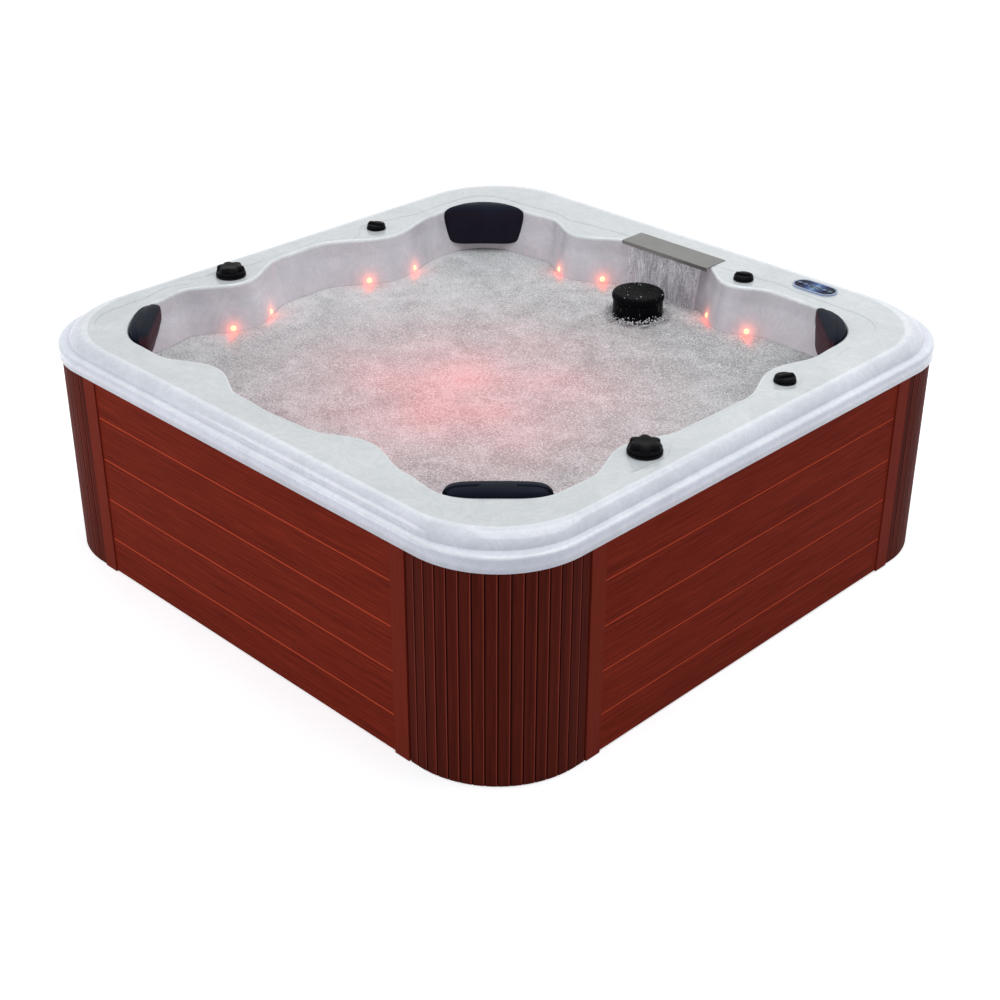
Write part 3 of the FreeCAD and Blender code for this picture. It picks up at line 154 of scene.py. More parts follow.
def join_sheets(front, back):
    """Vertices and faces of two like grids of points, joined all round their rims."""
    rows, columns = len(front), len(front[0])
    vertices = [spot for row in front + back for spot in row]
    behind = rows * columns
    sheet = grid_faces(rows, columns, closed=False)
    faces = sheet + [tuple(behind + corner for corner in face) for face in sheet]
    rims = [(row * columns + column, 1) for column in range(columns - 1) for row in (0, rows - 1)]
    rims += [(row * columns + column, columns) for row in range(rows - 1) for column in (0, columns - 1)]
    faces += [(corner, corner + step, behind + corner + step, behind + corner) for corner, step in rims]
    return vertices, faces


def keep(piece, body, material, replaced=()):
    """Give a piece its finish and body, and hide the parts it stands for."""
    piece.data.materials.clear()
    piece.data.materials.append(material)
    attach(piece, body)
    if replaced:
        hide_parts(*replaced)
    return piece


def smooth(low, high, value):
    """Nought below low, one above high and an even slope between."""
    share = min(1.0, max(0.0, (value - low) / (high - low)))
    return share * share * (3 - 2 * share)


# Plan of the basin, as in the source

SIDE_STEPS = 124
ARC_STEPS = 36


def side_distance(shares, share):
    for (s0, d0), (s1, d1) in zip(shares, shares[1:]):
        if share <= s1:
            wave = (1 - math.cos(math.pi * (share - s0) / (s1 - s0))) / 2
            return d0 + (d1 - d0) * wave
    return shares[-1][1]


def on_side(quarter, along, out):
    return Matrix.Rotation(math.pi / 2 * quarter, 3, "Z") @ Vector((along, -out, 0))


def outward_of(way):
    return Vector((way.y, -way.x, 0)).normalized()


def basin_outline():
    """Points of the basin's edge and the way out of the basin at each."""
    points = []
    for quarter in range(4):
        shares = SIDE_EDGES[quarter]
        first, last = shares[0][0], shares[-1][0]
        for step in range(SIDE_STEPS):
            share = first + (last - first) * step / SIDE_STEPS
            points.append(on_side(quarter, share, side_distance(shares, share)) * SKIRT_HALF)
        x, y, radius = CORNER_ARCS[quarter]
        for step in range(ARC_STEPS):
            angle = math.radians(90 * (quarter - 1) + 90 * step / ARC_STEPS)
            spot = Vector((x + radius * math.cos(angle), y + radius * math.sin(angle), 0))
            points.append(spot * SKIRT_HALF)
    count = len(points)
    return points, [outward_of(points[(i + 1) % count] - points[i - 1]) for i in range(count)]


def inset_at(z):
    return min(WALL_INSET, max(0.0, WALL_LEAN * (WALL_TOP - z)))


def wall_point(quarter, along, z):
    def spot(place):
        share = place / SKIRT_HALF
        return on_side(quarter, share, side_distance(SIDE_EDGES[quarter], share)) * SKIRT_HALF
    outward = outward_of(spot(along + SHELL_WALL) - spot(along - SHELL_WALL))
    point = spot(along) - outward * inset_at(z)
    return Vector((point.x, point.y, z))


EDGE_POINTS, EDGE_WAYS = basin_outline()
LOOP = len(EDGE_POINTS)
LENS_POINTS = [wall_point(quarter, place, LED_HEIGHT) for quarter, places in enumerate(LED_PLACES)
               for place in places]


def rounded_square_at(half, radius, angle):
    """Where the ray at an angle from the middle meets a rounded square."""
    way = Vector((math.cos(angle), math.sin(angle), 0))
    big = max(abs(way.x), abs(way.y))
    small = min(abs(way.x), abs(way.y))
    reach = half / big
    if reach * small > half - radius:
        middle = half - radius
        along = middle * (big + small)
        reach = along + math.sqrt(max(0.0, along * along - 2 * middle * middle + radius * radius))
    return way * reach


# Nodes of the finishes

MIX_COLOR_SOCKETS = (0, 6, 7)
UPRIGHT = (0, math.pi / 2, 0)


def grey(level):
    return (level, level, level)


def new_material(name):
    material = bpy.data.materials.new(name)
    material.use_nodes = True
    return material, material.node_tree, material.node_tree.nodes["Principled BSDF"]


def tree_of(*values):
    """The node tree that the first of some values is an output in."""
    return next(value.id_data for value in values if isinstance(value, bpy.types.NodeSocket))


def feed(socket, value):
    """Link another node's output to an input, or set the input's own value."""
    if isinstance(value, bpy.types.NodeSocket):
        socket.id_data.links.new(value, socket)
    elif value is not None:
        socket.default_value = (*value, 1) if socket.type == "RGBA" and len(value) == 3 else value


def settle(node, **values):
    """Feed a node's inputs by name, with an underscore for each space."""
    for key, value in values.items():
        feed(node.inputs[key.replace("_", " ")], value)
    return node


def new_node(tree, kind, **values):
    return settle(tree.nodes.new("ShaderNode" + kind), **values)


def ramp(source, stops):
    node = new_node(tree_of(source), "ValToRGB", Fac=source)
    elements = node.color_ramp.elements
    while len(elements) < len(stops):
        elements.new(0.5)
    for element, (place, color) in zip(elements, stops):
        element.position = place
        element.color = (*color, 1)
    return node.outputs["Color"]


def mixed(factor, first, second, blend="MIX"):
    node = tree_of(factor, first, second).nodes.new("ShaderNodeMix")
    node.data_type = "RGBA"
    node.blend_type = blend
    for number, value in zip(MIX_COLOR_SOCKETS, (factor, first, second)):
        feed(node.inputs[number], value)
    return node.outputs[2]


def calc(operation, first, second=None, third=None, clamp=False):
    node = tree_of(first).nodes.new("ShaderNodeMath")
    node.operation = operation
    node.use_clamp = clamp
    for socket, value in zip(node.inputs, (first, second, third)):
        feed(socket, value)
    return node.outputs[0]


def stretched(vector, scale):
    node = tree_of(vector).nodes.new("ShaderNodeVectorMath")
    node.operation = "MULTIPLY"
    feed(node.inputs[0], vector)
    feed(node.inputs[1], scale)
    return node.outputs[0]


def object_place(tree, scale=(1, 1, 1), turn=(0, 0, 0), shift=(0, 0, 0)):
    place = new_node(tree, "TexCoord").outputs["Object"]
    mapping = new_node(tree, "Mapping", Vector=place, Scale=scale, Rotation=turn, Location=shift)
    return mapping.outputs["Vector"]


def parts_of(vector):
    return new_node(tree_of(vector), "SeparateXYZ", Vector=vector).outputs


def noise_of(vector, scale, detail=4.0, rough=0.5, distortion=0.0):
    node = new_node(tree_of(vector), "TexNoise", Vector=vector, Scale=scale, Detail=detail, Roughness=rough,
                    Distortion=distortion)
    return node.outputs["Fac"]


def cells_of(vector, scale, feature="F1", **values):
    node = tree_of(vector).nodes.new("ShaderNodeTexVoronoi")
    node.feature = feature
    return settle(node, Vector=vector, Scale=scale, **values).outputs["Distance"]


def painted(tree, name):
    """What is painted on the mesh under a name."""
    node = tree.nodes.new("ShaderNodeAttribute")
    node.attribute_name = name
    return node.outputs


def bump(height, strength, distance):
    node = new_node(tree_of(height), "Bump", Height=height, Strength=strength, Distance=distance)
    return node.outputs["Normal"]


def effect_group(name, inputs, outputs):
    """An empty shader node group with named sockets, shared by several finishes."""
    group = bpy.data.node_groups.new(name, "ShaderNodeTree")
    for label, kind, value in inputs:
        socket = group.interface.new_socket(label, in_out="INPUT", socket_type="NodeSocket" + kind)
        if value is not None:
            socket.default_value = value
    for label, kind in outputs:
        group.interface.new_socket(label, in_out="OUTPUT", socket_type="NodeSocket" + kind)
    return group, group.nodes.new("NodeGroupInput").outputs, group.nodes.new("NodeGroupOutput")


def use_group(tree, group, **values):
    node = tree.nodes.new("ShaderNodeGroup")
    node.node_tree = group
    return settle(node, **values).outputs


TONE_SOCKETS = [("Vector", "Vector", None), ("Light", "Color", (1, 1, 1, 1)), ("Dark", "Color", (0, 0, 0, 1))]


def make_speckle_group():
    """Fine broken colour and roughness for moulded and painted surfaces."""
    group, given, end = effect_group(
        "surface speckle",
        TONE_SOCKETS + [("Scale", "Float", 60.0), ("Smooth", "Float", 0.3), ("Rough", "Float", 0.5)],
        [("Color", "Color"), ("Roughness", "Float"), ("Height", "Float")])
    cloud = noise_of(given["Vector"], given["Scale"], 5.0)
    color = mixed(cloud, given["Dark"], given["Light"])
    span = calc("SUBTRACT", given["Rough"], given["Smooth"])
    rough = calc("MULTIPLY_ADD", cloud, span, given["Smooth"])
    settle(end, Color=color, Roughness=rough, Height=cloud)
    return group


def make_grain_group():
    """Fine straight wood grain along X of the vector, with broad tone bands."""
    group, given, end = effect_group("wood grain", TONE_SOCKETS + [("Contrast", "Float", 1.0)],
                                     [("Color", "Color"), ("Height", "Float")])
    fine = noise_of(stretched(given["Vector"], (1.0, 62.0, 62.0)), 6.0, 6.0, 0.65)
    broad = noise_of(stretched(given["Vector"], (0.8, 9.0, 9.0)), 2.0, 3.0, 0.5, 0.4)
    streak = ramp(fine, [(0.30, grey(0)), (0.70, grey(1))])
    both = calc("MULTIPLY_ADD", broad, 0.26, calc("MULTIPLY", streak, 0.72))
    factor = calc("MULTIPLY", both, given["Contrast"], clamp=True)
    settle(end, Color=mixed(factor, given["Dark"], given["Light"]), Height=fine)
    return group


SPECKLE = make_speckle_group()
GRAIN = make_grain_group()


def plain_finish(name, light, dark, sleek, rough, scale=40.0, metallic=0.0, relief=0.0, coat=0.0, gloss=0.5):
    """Moulded plastic, paint or metal with fine broken tone; sleek is its lowest roughness."""
    material, tree, shader = new_material(name)
    result = use_group(tree, SPECKLE, Vector=object_place(tree), Light=light, Dark=dark,
                       Scale=scale, Smooth=sleek, Rough=rough)
    settle(shader, Base_Color=result["Color"], Roughness=result["Roughness"],
           Metallic=metallic, Coat_Weight=coat, Specular_IOR_Level=gloss)
    if relief:
        settle(shader, Normal=bump(result["Height"], 0.3, relief))
    return material


def acrylic_finish():
    """Pale marbled acrylic with a clear coat, with painted light, shade and highlights from the rings' tones,
    bluish on the roll and a painted reflection of the water's light, and the small lights' painted red halos
    as emission.
    """
    material, tree, shader = new_material("pale marbled acrylic")
    place = object_place(tree)
    cloud = noise_of(place, 5.0, 7.0, 0.62, 0.9)
    vein = noise_of(place, 9.0, 9.0, 0.68, 2.6)
    base = ramp(cloud, [(0.30, (0.655, 0.680, 0.685)), (0.52, (0.745, 0.766, 0.772)),
                        (0.72, (0.800, 0.820, 0.828))])
    veins = ramp(vein, [(0.44, grey(0)), (0.50, grey(1)), (0.56, grey(0))])
    base = mixed(calc("MULTIPLY", veins, 0.30), base, (0.50, 0.575, 0.565))
    # Painted light, shade, highlights and the waterline's painted reflection, multiplied into the marble
    base = mixed(1.0, base, painted(tree, "light_and_shade_tone")["Color"], "MULTIPLY")
    # The small lights' painted red halos glow as emission
    settle(shader, Base_Color=base, Emission_Color=painted(tree, "glow")["Color"],
           Emission_Strength=1.0, Roughness=0.22, Coat_Weight=0.5, Coat_Roughness=0.08)
    return material


# Acrylic shell, drawn in rings from the lip's foot inward

EDGE_OUT = 0.001
EDGE_IN = 0.009
EDGE_DEPTH = 0.010
CORNER_LEDGES = [0.028, -0.008, -0.008, 0.014]
LEDGE_FOOT = 0.610
LEDGE_TOP = 0.715
LAND_WIDTH = 0.040
CORNER_LAND = 0.082
PAD_WIDTH = 0.100
PAD_SHARE = 0.33
PAD_SPAN = 0.13
LAND_DROP = 0.0018
LAND_SLOPE = 0.0045
LAND_EASINGS = 3
DIVERTER_PAD = 0.060
AIR_PAD = 0.045
LIP_STEPS = 6
ROLL_STEPS = 14
TURN_STEPS = 8
FILLET_STEPS = 4
WALL_ROWS = 26
FLOOR_ROWS = 44
RIM_ROWS = (13, 5, 7)
HIDDEN_RIM_ROWS = (3, 1, 2)

# Tones of the rings, multiplied with the acrylic's colour: painted light on the lip and roll (lighter and
# bluish as light falls there), painted highlights along the lip, on the crest and on the basin's rounded
# edge, painted shade on the land's step line, a pinkish wall, and a painted pinkish reflection on the wall by
# the waterline
LIP_PAINTED_LIGHT = (1.08, 1.07, 1.20)
LIP_PAINTED_HIGHLIGHT = (1.24, 1.24, 1.30)
ROLL_PAINTED_LIGHT = (1.10, 1.09, 1.16)
CREST_PAINTED_HIGHLIGHT = (1.24, 1.24, 1.27)
RIM_TONE = (1.0, 1.0, 1.0)
STEP_PAINTED_SHADE = (0.86, 0.89, 0.885)
EDGE_PAINTED_HIGHLIGHT = (1.20, 1.20, 1.21)
WALL_TONE = (1.04, 0.970, 1.020)
WATERLINE_PAINTED_REFLECTION = (1.03, 0.915, 0.965)


def rim_rings():
    """Half width, corner radius and height of the rings from the lip's foot to the crest."""
    rings = [(LIP_HALF, LIP_CORNER, LIP_FOOT)]
    for step in range(LIP_STEPS + 1):
        angle = math.pi / 2 * step / LIP_STEPS
        back = LIP_EDGE * (1 - math.cos(angle))
        rings.append((LIP_HALF - back, LIP_CORNER - back, LIP_TOP - LIP_EDGE + LIP_EDGE * math.sin(angle)))
    roll_foot = LIP_HALF - LIP_EDGE - SHELF_WIDTH
    rings.append((roll_foot + 0.003, ROLL_FOOT_CORNER, LIP_TOP + SHELF_RISE * 0.7))
    for step in range(ROLL_STEPS + 1):
        angle = math.pi / 2 * step / ROLL_STEPS
        half = roll_foot - ROLL_WIDTH * (1 - math.cos(angle))
        radius = ROLL_FOOT_CORNER + (CREST_CORNER - ROLL_FOOT_CORNER) * step / ROLL_STEPS
        rings.append((half, radius, LIP_TOP + SHELF_RISE + ROLL_HEIGHT * math.sin(angle)))
    return rings


def rim_painted_light_tone(number, count):
    """The tone of one of the lip's and roll's rings: painted light on the lip and roll, a painted highlight
    line on the lip, and a painted highlight on the crest.
    """
    if 4 <= number <= 7:
        return LIP_PAINTED_HIGHLIGHT
    if number <= 8:
        return LIP_PAINTED_LIGHT
    return blend_tone(ROLL_PAINTED_LIGHT, CREST_PAINTED_HIGHLIGHT, smooth(0.70, 0.90, (number - 9) / (count - 10)))


def ledge_share(share):
    """Rises from nothing at an arc's ends to one at its middle."""
    return math.cos(math.pi * (share - 0.5)) ** 2


def corner_ledge(index):
    """How far the edge behind a pillow steps in at a point of the outline."""
    quarter, step = divmod(index, SIDE_STEPS + ARC_STEPS)
    if step < SIDE_STEPS:
        return 0.0
    return CORNER_LEDGES[quarter] * ledge_share((step - SIDE_STEPS) / ARC_STEPS)


def edge_spot(index, out, z):
    """A point beside the basin's edge, with the ledge behind a pillow counted in."""
    reach = out - corner_ledge(index) * smooth(LEDGE_FOOT, LEDGE_TOP, z)
    spot = EDGE_POINTS[index] + EDGE_WAYS[index] * reach
    return Vector((spot.x, spot.y, z))


def land_width(index):
    """How far the lowered land beside the basin's edge reaches out at a point of the edge."""
    quarter, step = divmod(index, SIDE_STEPS + ARC_STEPS)
    width = LAND_WIDTH
    if step >= SIDE_STEPS:
        width += (CORNER_LAND - LAND_WIDTH) * ledge_share((step - SIDE_STEPS) / ARC_STEPS)
    else:
        shares = SIDE_EDGES[quarter]
        share = abs(shares[0][0] + (shares[-1][0] - shares[0][0]) * step / SIDE_STEPS)
        width += (PAD_WIDTH - LAND_WIDTH) * (1 - smooth(0.0, PAD_SPAN, abs(share - PAD_SHARE)))
        width = EDGE_OUT + 0.002 + (width - EDGE_OUT) * smooth(0.14, 0.24, share)
    for places, reach in ((DIVERTERS, DIVERTER_PAD), (AIR_KNOBS, AIR_PAD)):
        for x, y in places.values():
            gap = Vector((x, y, 0)) - EDGE_POINTS[index]
            along = gap.dot(EDGE_WAYS[index])
            room = reach * reach - (gap.length_squared - along * along)
            if room > 0:
                width = max(width, along + math.sqrt(room))
    return width


def land_widths():
    widths = [land_width(index) for index in range(LOOP)]
    for easing in range(LAND_EASINGS):
        widths = [(widths[i - 1] + widths[i] + widths[(i + 1) % LOOP]) / 3 for i in range(LOOP)]
    return widths


def floor_height(x, y):
    """Height of the bench, a seat or the footwell at a plan point."""
    z = BENCH
    for sx, sy in ((1, -1), (1, 1), (-1, 1), (-1, -1)):
        away = math.hypot(x - sx * SEAT_REACH, y - sy * SEAT_REACH)
        z = min(z, SEAT_FLOOR + (BENCH - SEAT_FLOOR) * smooth(SEAT_RADIUS - SEAT_SLOPE, SEAT_RADIUS, away))
    inner = FOOTWELL_HALF - FOOTWELL_CORNER
    away = math.hypot(max(0.0, abs(x) - inner), max(0.0, abs(y) - inner))
    away = max(away, max(abs(x), abs(y)) - inner)
    rise = smooth(FOOTWELL_CORNER - FOOTWELL_SLOPE, FOOTWELL_CORNER, away)
    return min(z, FOOTWELL_FLOOR + (BENCH - FOOTWELL_FLOOR) * rise)


def blend_tone(first, second, share):
    return tuple(a + (b - a) * share for a, b in zip(first, second))


def shell_rings(grow):
    """All rings of the shell's face with their tones of painted light and shade, or of its hidden back when
    grown by the wall.
    """
    widths = land_widths()
    angles = [math.atan2(point.y, point.x) for point in EDGE_POINTS]
    rings = []
    tones = []

    def ring(row, tone):
        rings.append(row)
        tones.append(tone)
    outer_rim = rim_rings()
    for number, (half, radius, z) in enumerate(outer_rim):
        level = Vector((0, 0, z - (grow if z > LIP_FOOT else 0)))
        ring([rounded_square_at(half - grow, radius - grow, angle) + level for angle in angles],
             rim_painted_light_tone(number, len(outer_rim)))
    crest = rings[-1]
    top = RIM_TOP - grow
    starts = [edge_spot(i, EDGE_OUT + grow, top) for i in range(LOOP)]

    def rim_row(distance_at, drop, tone):
        row = []
        for index in range(LOOP):
            place = starts[index].lerp(crest[index], distance_at(index))
            row.append(Vector((place.x, place.y, top - drop * lowered[index])))
        ring(row, tone)
    lengths = [(crest[i].xy - starts[i].xy).length for i in range(LOOP)]
    lowered = [smooth(EDGE_OUT + 0.004, EDGE_OUT + 0.02, width) for width in widths]
    reaches = [widths[i] + corner_ledge(i) for i in range(LOOP)]
    outer = [min(0.9, max(0.02, (reaches[i] + LAND_SLOPE) / lengths[i])) for i in range(LOOP)]
    inner = [min(0.88, max(0.01, reaches[i] / lengths[i])) for i in range(LOOP)]
    outer_rows, slope_rows, inner_rows = HIDDEN_RIM_ROWS if grow else RIM_ROWS
    for step in range(1, outer_rows):
        rim_row(lambda i: 1 - (1 - outer[i]) * step / outer_rows, 0.0, RIM_TONE)
    for step in range(slope_rows + 1):
        share = step / slope_rows
        # Painted shade along the land's step line
        tone = STEP_PAINTED_SHADE if 1 <= step < slope_rows else RIM_TONE
        rim_row(lambda i: outer[i] + (inner[i] - outer[i]) * share, LAND_DROP * smooth(0, 1, share), tone)
    for step in range(1, inner_rows):
        rim_row(lambda i: inner[i] * (1 - step / inner_rows), LAND_DROP, RIM_TONE)
    for step in range(TURN_STEPS + 1):
        angle = math.pi / 2 * step / TURN_STEPS
        out = EDGE_OUT - (EDGE_OUT + EDGE_IN) * math.sin(angle) + grow
        z = RIM_TOP - EDGE_DEPTH * (1 - math.cos(angle)) - grow
        fade = LAND_DROP * math.cos(angle)
        # Painted highlight on the basin's rounded edge, from the third step on
        ring([edge_spot(i, out, z) - Vector((0, 0, fade * lowered[i])) for i in range(LOOP)],
             RIM_TONE if step < 2 else EDGE_PAINTED_HIGHLIGHT)
    wall_top = RIM_TOP - EDGE_DEPTH - grow
    wall_foot = BENCH + BENCH_FILLET - grow
    for step in range(1, WALL_ROWS + 1):
        z = wall_top + (wall_foot - wall_top) * (step / WALL_ROWS) ** 1.3
        # Painted pinkish reflection of the water's light on the wall by the waterline
        tone = blend_tone(WATERLINE_PAINTED_REFLECTION, WALL_TONE, smooth(WATER_LEVEL, WATER_LEVEL + 0.09, z))
        ring([edge_spot(i, grow - max(EDGE_IN, inset_at(z + grow)), z) for i in range(LOOP)], tone)
    for step in range(1, FILLET_STEPS + 1):
        angle = math.pi / 2 * step / FILLET_STEPS
        inset = WALL_INSET - grow + BENCH_FILLET * (1 - math.cos(angle))
        level = Vector((0, 0, BENCH + BENCH_FILLET * (1 - math.sin(angle)) - grow))
        ring([EDGE_POINTS[i] - EDGE_WAYS[i] * inset + level for i in range(LOOP)], WALL_TONE)
    bench = rings[-1]
    for step in range(1, FLOOR_ROWS):
        share = 1 - step / FLOOR_ROWS
        places = [(spot.x * share, spot.y * share) for spot in bench]
        ring([Vector((x, y, floor_height(x, y) - grow)) for x, y in places], WALL_TONE)
    return rings, tones


def make_shell():
    face, face_tones = shell_rings(0.0)
    back, back_tones = shell_rings(SHELL_WALL)
    rows = back[::-1] + face
    vertices = [spot for row in rows for spot in row]
    faces = grid_faces(len(rows), LOOP)
    close_ring(vertices, faces, 0, LOOP, FOOTWELL_FLOOR - SHELL_WALL)
    close_ring(vertices, faces, (len(rows) - 1) * LOOP, LOOP, FOOTWELL_FLOOR)
    piece = mesh_piece("shell_skin", vertices, faces)
    paint_shell(piece.data, back_tones[::-1] + face_tones)
    return piece


# The lights' red halos on the wall, painted on the shell with the tones of its rings

HALO_REACH = 0.018
HALO_LIMIT = 0.10
HALO_COLOR = (1.0, 0.17, 0.07)
HALO_STRENGTH = 1.3


def paint_shell(mesh, tones):
    for name in ("light_and_shade_tone", "glow"):
        mesh.color_attributes.new(name, "FLOAT_COLOR", "POINT")
    light_and_shade_tone, glow = mesh.attributes["light_and_shade_tone"], mesh.attributes["glow"]
    for index, vertex in enumerate(mesh.vertices):
        spot = vertex.co
        # Each ring's tone of painted light, shade and highlight
        light_and_shade_tone.data[index].color = (*tones[min(index // LOOP, len(tones) - 1)], 1)
        light = 0.0
        if 0.5 < spot.z < 0.72 and max(abs(spot.x), abs(spot.y)) < 0.96:
            for lens in LENS_POINTS:
                away = (spot - lens).length
                if away < HALO_LIMIT:
                    light = max(light, math.exp(-(away / HALO_REACH) ** 1.2))
        glow.data[index].color = (*(Vector(HALO_COLOR) * light * HALO_STRENGTH), 1)


# Water: a froth surface with a painted red glow from the large light, closed below

WATER_ROWS = 120
WATER_DEPTH = 0.012
WATER_IOR = 1.33
# Painted red light on the water: a pool over the large light, a wash round it, and painted reflections of the
# small lights as glints
POOL_SPOT = (0.060, -0.215)
POOL_PAINTED_LIGHT = (0.38, 0.040, 0.045)
POOL_REACH = 0.34
WASH_PAINTED_LIGHT = (0.105, 0.010, 0.014)
WASH_REACH = 0.66
LIGHT_COLOR = (0.42, 0.035, 0.022)
LIGHT_REACH = 0.034
LIGHT_LIMIT = 0.20
GLINT_PAINTED_REFLECTION = (0.95, 0.10, 0.06)
GLINT_WAY = (0.70, -0.71)
GLINT_HALF = 0.013
GLINT_LENGTH = 0.065
FROTH_LEVEL = 0.042
CALM_SPOT = (0.12, 0.42)
CALM_REACH = 0.30
# Painted shade in a broken ring round the filter's foot
FILTER_SHADE = 0.34
FILTER_SHADE_OUT = 0.010
FILTER_SHADE_WIDTH = 0.013


def water_finish():
    """White froth in clots and cells over darker water, with the painted red glow."""
    material, tree, shader = new_material("frothing water")
    place = object_place(tree)
    coarse = noise_of(place, 5.5, 3.0, 0.55, 1.3)
    fine = noise_of(place, 130.0, 5.0, 0.75, 0.2)
    clots = noise_of(place, 30.0, 5.0, 0.66, 0.8)
    cells = cells_of(place, 150.0, "SMOOTH_F1", Smoothness=0.35)
    cell = ramp(cells, [(0.06, grey(1)), (0.46, grey(0))])
    froth = calc("MULTIPLY_ADD", fine, 0.72, calc("MULTIPLY", cell, 0.36))
    froth = calc("MULTIPLY_ADD", clots, 0.24, froth)
    froth = calc("MULTIPLY_ADD", coarse, 0.34, froth)
    froth = calc("ADD", froth, painted(tree, "foam")["Fac"])
    base = ramp(froth, [(0.50, (0.330, 0.362, 0.360)), (0.64, (0.560, 0.586, 0.584)),
                        (0.78, (0.790, 0.805, 0.805)), (0.93, (0.965, 0.970, 0.970))])
    glow = painted(tree, "glow")
    # The painted red light also reddens the froth's colour
    painted_red_light = mixed(glow["Fac"], base, (1.0, 0.30, 0.32), "MULTIPLY")
    settle(shader, Base_Color=painted_red_light, Emission_Color=glow["Color"], Emission_Strength=1.0,
           Roughness=0.28, IOR=WATER_IOR, Normal=bump(froth, 0.9, 0.004))
    return material


def swell(x, y, edge):
    """Height of the ripples at a point; lively in the middle, calmer by the wall."""
    low = noise.noise(Vector((x * 9, y * 9, 0.3))) * 0.0050
    middle = noise.noise(Vector((x * 28, y * 28, 4.1))) * 0.0035
    high = noise.noise(Vector((x * 75, y * 75, 8.7))) * 0.0022
    return (low + middle + high) * smooth(0.0, 0.06, edge)


def distance_to(spot, place):
    return math.hypot(spot.x - place[0], spot.y - place[1])


def glow_at(spot):
    """Painted red light on the water: a pool over the large light, a wash round it, and the small lights'
    glints as painted reflections.
    """
    patch = 0.75 + 0.5 * noise.noise(Vector((spot.x * 5, spot.y * 5, 2.0)))
    away = distance_to(spot, POOL_SPOT)
    color = Vector(POOL_PAINTED_LIGHT) * (math.exp(-(away / POOL_REACH) ** 1.5) * patch)
    color += Vector(WASH_PAINTED_LIGHT) * math.exp(-(away / WASH_REACH) ** 2)
    for lens in LENS_POINTS:
        gap = distance_to(spot, lens)
        if gap < LIGHT_LIMIT:
            color += Vector(LIGHT_COLOR) * math.exp(-(gap / LIGHT_REACH) ** 1.1)
            along = (spot.x - lens.x) * GLINT_WAY[0] + (spot.y - lens.y) * GLINT_WAY[1]
            side = (spot.x - lens.x) * GLINT_WAY[1] - (spot.y - lens.y) * GLINT_WAY[0]
            glint = math.exp(-(side / GLINT_HALF) ** 2) * smooth(-0.005, 0.015, along)
            color += Vector(GLINT_PAINTED_REFLECTION) * max(0.0, glint * math.exp(-(along / GLINT_LENGTH) ** 2))
    return color


def foam_at(spot):
    """More froth at the far left, less at the right and in the calm patch, and painted shade in a broken ring
    by the filter.
    """
    calm = 0.03 * math.exp(-(distance_to(spot, CALM_SPOT) / CALM_REACH) ** 2)
    from_filter = distance_to(spot, (FILTER_X, FILTER_Y)) - FILTER_RADIUS
    broken = 0.5 + noise.noise(Vector((spot.x * 22, spot.y * 22, 6.0)))
    # Painted shade: a broken ring just outside the filter
    ring = math.exp(-((from_filter - FILTER_SHADE_OUT) / FILTER_SHADE_WIDTH) ** 2)
    far_left = 0.06 * smooth(0.2, 0.9, spot.y - spot.x) + 0.05 * smooth(0.35, 0.85, -spot.x)
    right = 0.03 * smooth(0.2, 0.8, spot.x)
    return far_left - calm - right - FILTER_SHADE * broken * ring - FROTH_LEVEL


def make_water():
    wall = [EDGE_POINTS[i] - EDGE_WAYS[i] * (inset_at(WATER_LEVEL) + 0.0005) for i in range(LOOP)]
    vertices = []
    for row in range(WATER_ROWS):
        share = 1 - row / WATER_ROWS
        for spot in wall:
            x, y = spot.x * share, spot.y * share
            vertices.append(Vector((x, y, WATER_LEVEL + swell(x, y, spot.length * (1 - share)))))
    faces = grid_faces(WATER_ROWS, LOOP)
    close_ring(vertices, faces, (WATER_ROWS - 1) * LOOP, LOOP, WATER_LEVEL)
    below = len(vertices)
    vertices += [Vector((spot.x, spot.y, WATER_LEVEL - WATER_DEPTH)) for spot in wall]
    close_ring(vertices, faces, below, LOOP, WATER_LEVEL - WATER_DEPTH)
    for column in range(LOOP):
        after = (column + 1) % LOOP
        faces.append((column, below + column, below + after, after))
    piece = mesh_piece("water", vertices, faces)
    mesh = piece.data
    mesh.color_attributes.new("glow", "FLOAT_COLOR", "POINT")
    mesh.attributes.new("foam", "FLOAT", "POINT")
    glow, foam = mesh.attributes["glow"], mesh.attributes["foam"]
    for index, vertex in enumerate(mesh.vertices):
        glow.data[index].color = (*glow_at(vertex.co), 1)
        foam.data[index].value = foam_at(vertex.co)
    return piece


# Skirt finishes

GROOVES = [0.124, 0.265, 0.406, 0.547]
GROOVE_OFFSET = 0.0008
GROOVE_HALF = 0.0017
WOOD_GLOSS = 0.02
FLUTES = 15
FLUTE_EDGE_SHARE = 0.10


def start_wood(name, turn, light, dark, contrast=1.0):
    """A new finish, its shader and what the wood grain puts out."""
    material, tree, shader = new_material(name)
    grain = use_group(tree, GRAIN, Vector=object_place(tree, turn=turn), Light=light, Dark=dark,
                      Contrast=contrast)
    return material, shader, grain


def settle_wood(shader, grain, color, rough, strength, relief):
    settle(shader, Base_Color=color, Roughness=rough, Specular_IOR_Level=WOOD_GLOSS,
           Normal=bump(grain["Height"], strength, relief))


def board_finish(name, turn):
    """Level mahogany grain, with a painted highlight as a thin red line on each bevelled joint."""
    material, shader, grain = start_wood(name, turn, (0.330, 0.037, 0.017), (0.070, 0.0062, 0.0034))
    height = parts_of(object_place(material.node_tree))["Z"]
    # Painted highlight: a thin band just below each joint's height, where the lower board's bevel would catch
    # the light
    lines = [calc("COMPARE", height, groove - GROOVE_OFFSET, GROOVE_HALF) for groove in GROOVES]
    line = lines[0]
    for other in lines[1:]:
        line = calc("MAXIMUM", line, other)
    # Painted highlight colour of the joints
    color = mixed(line, grain["Color"], (0.62, 0.090, 0.040))
    settle_wood(shader, grain, color, 0.6, 0.3, 0.0006)
    return material


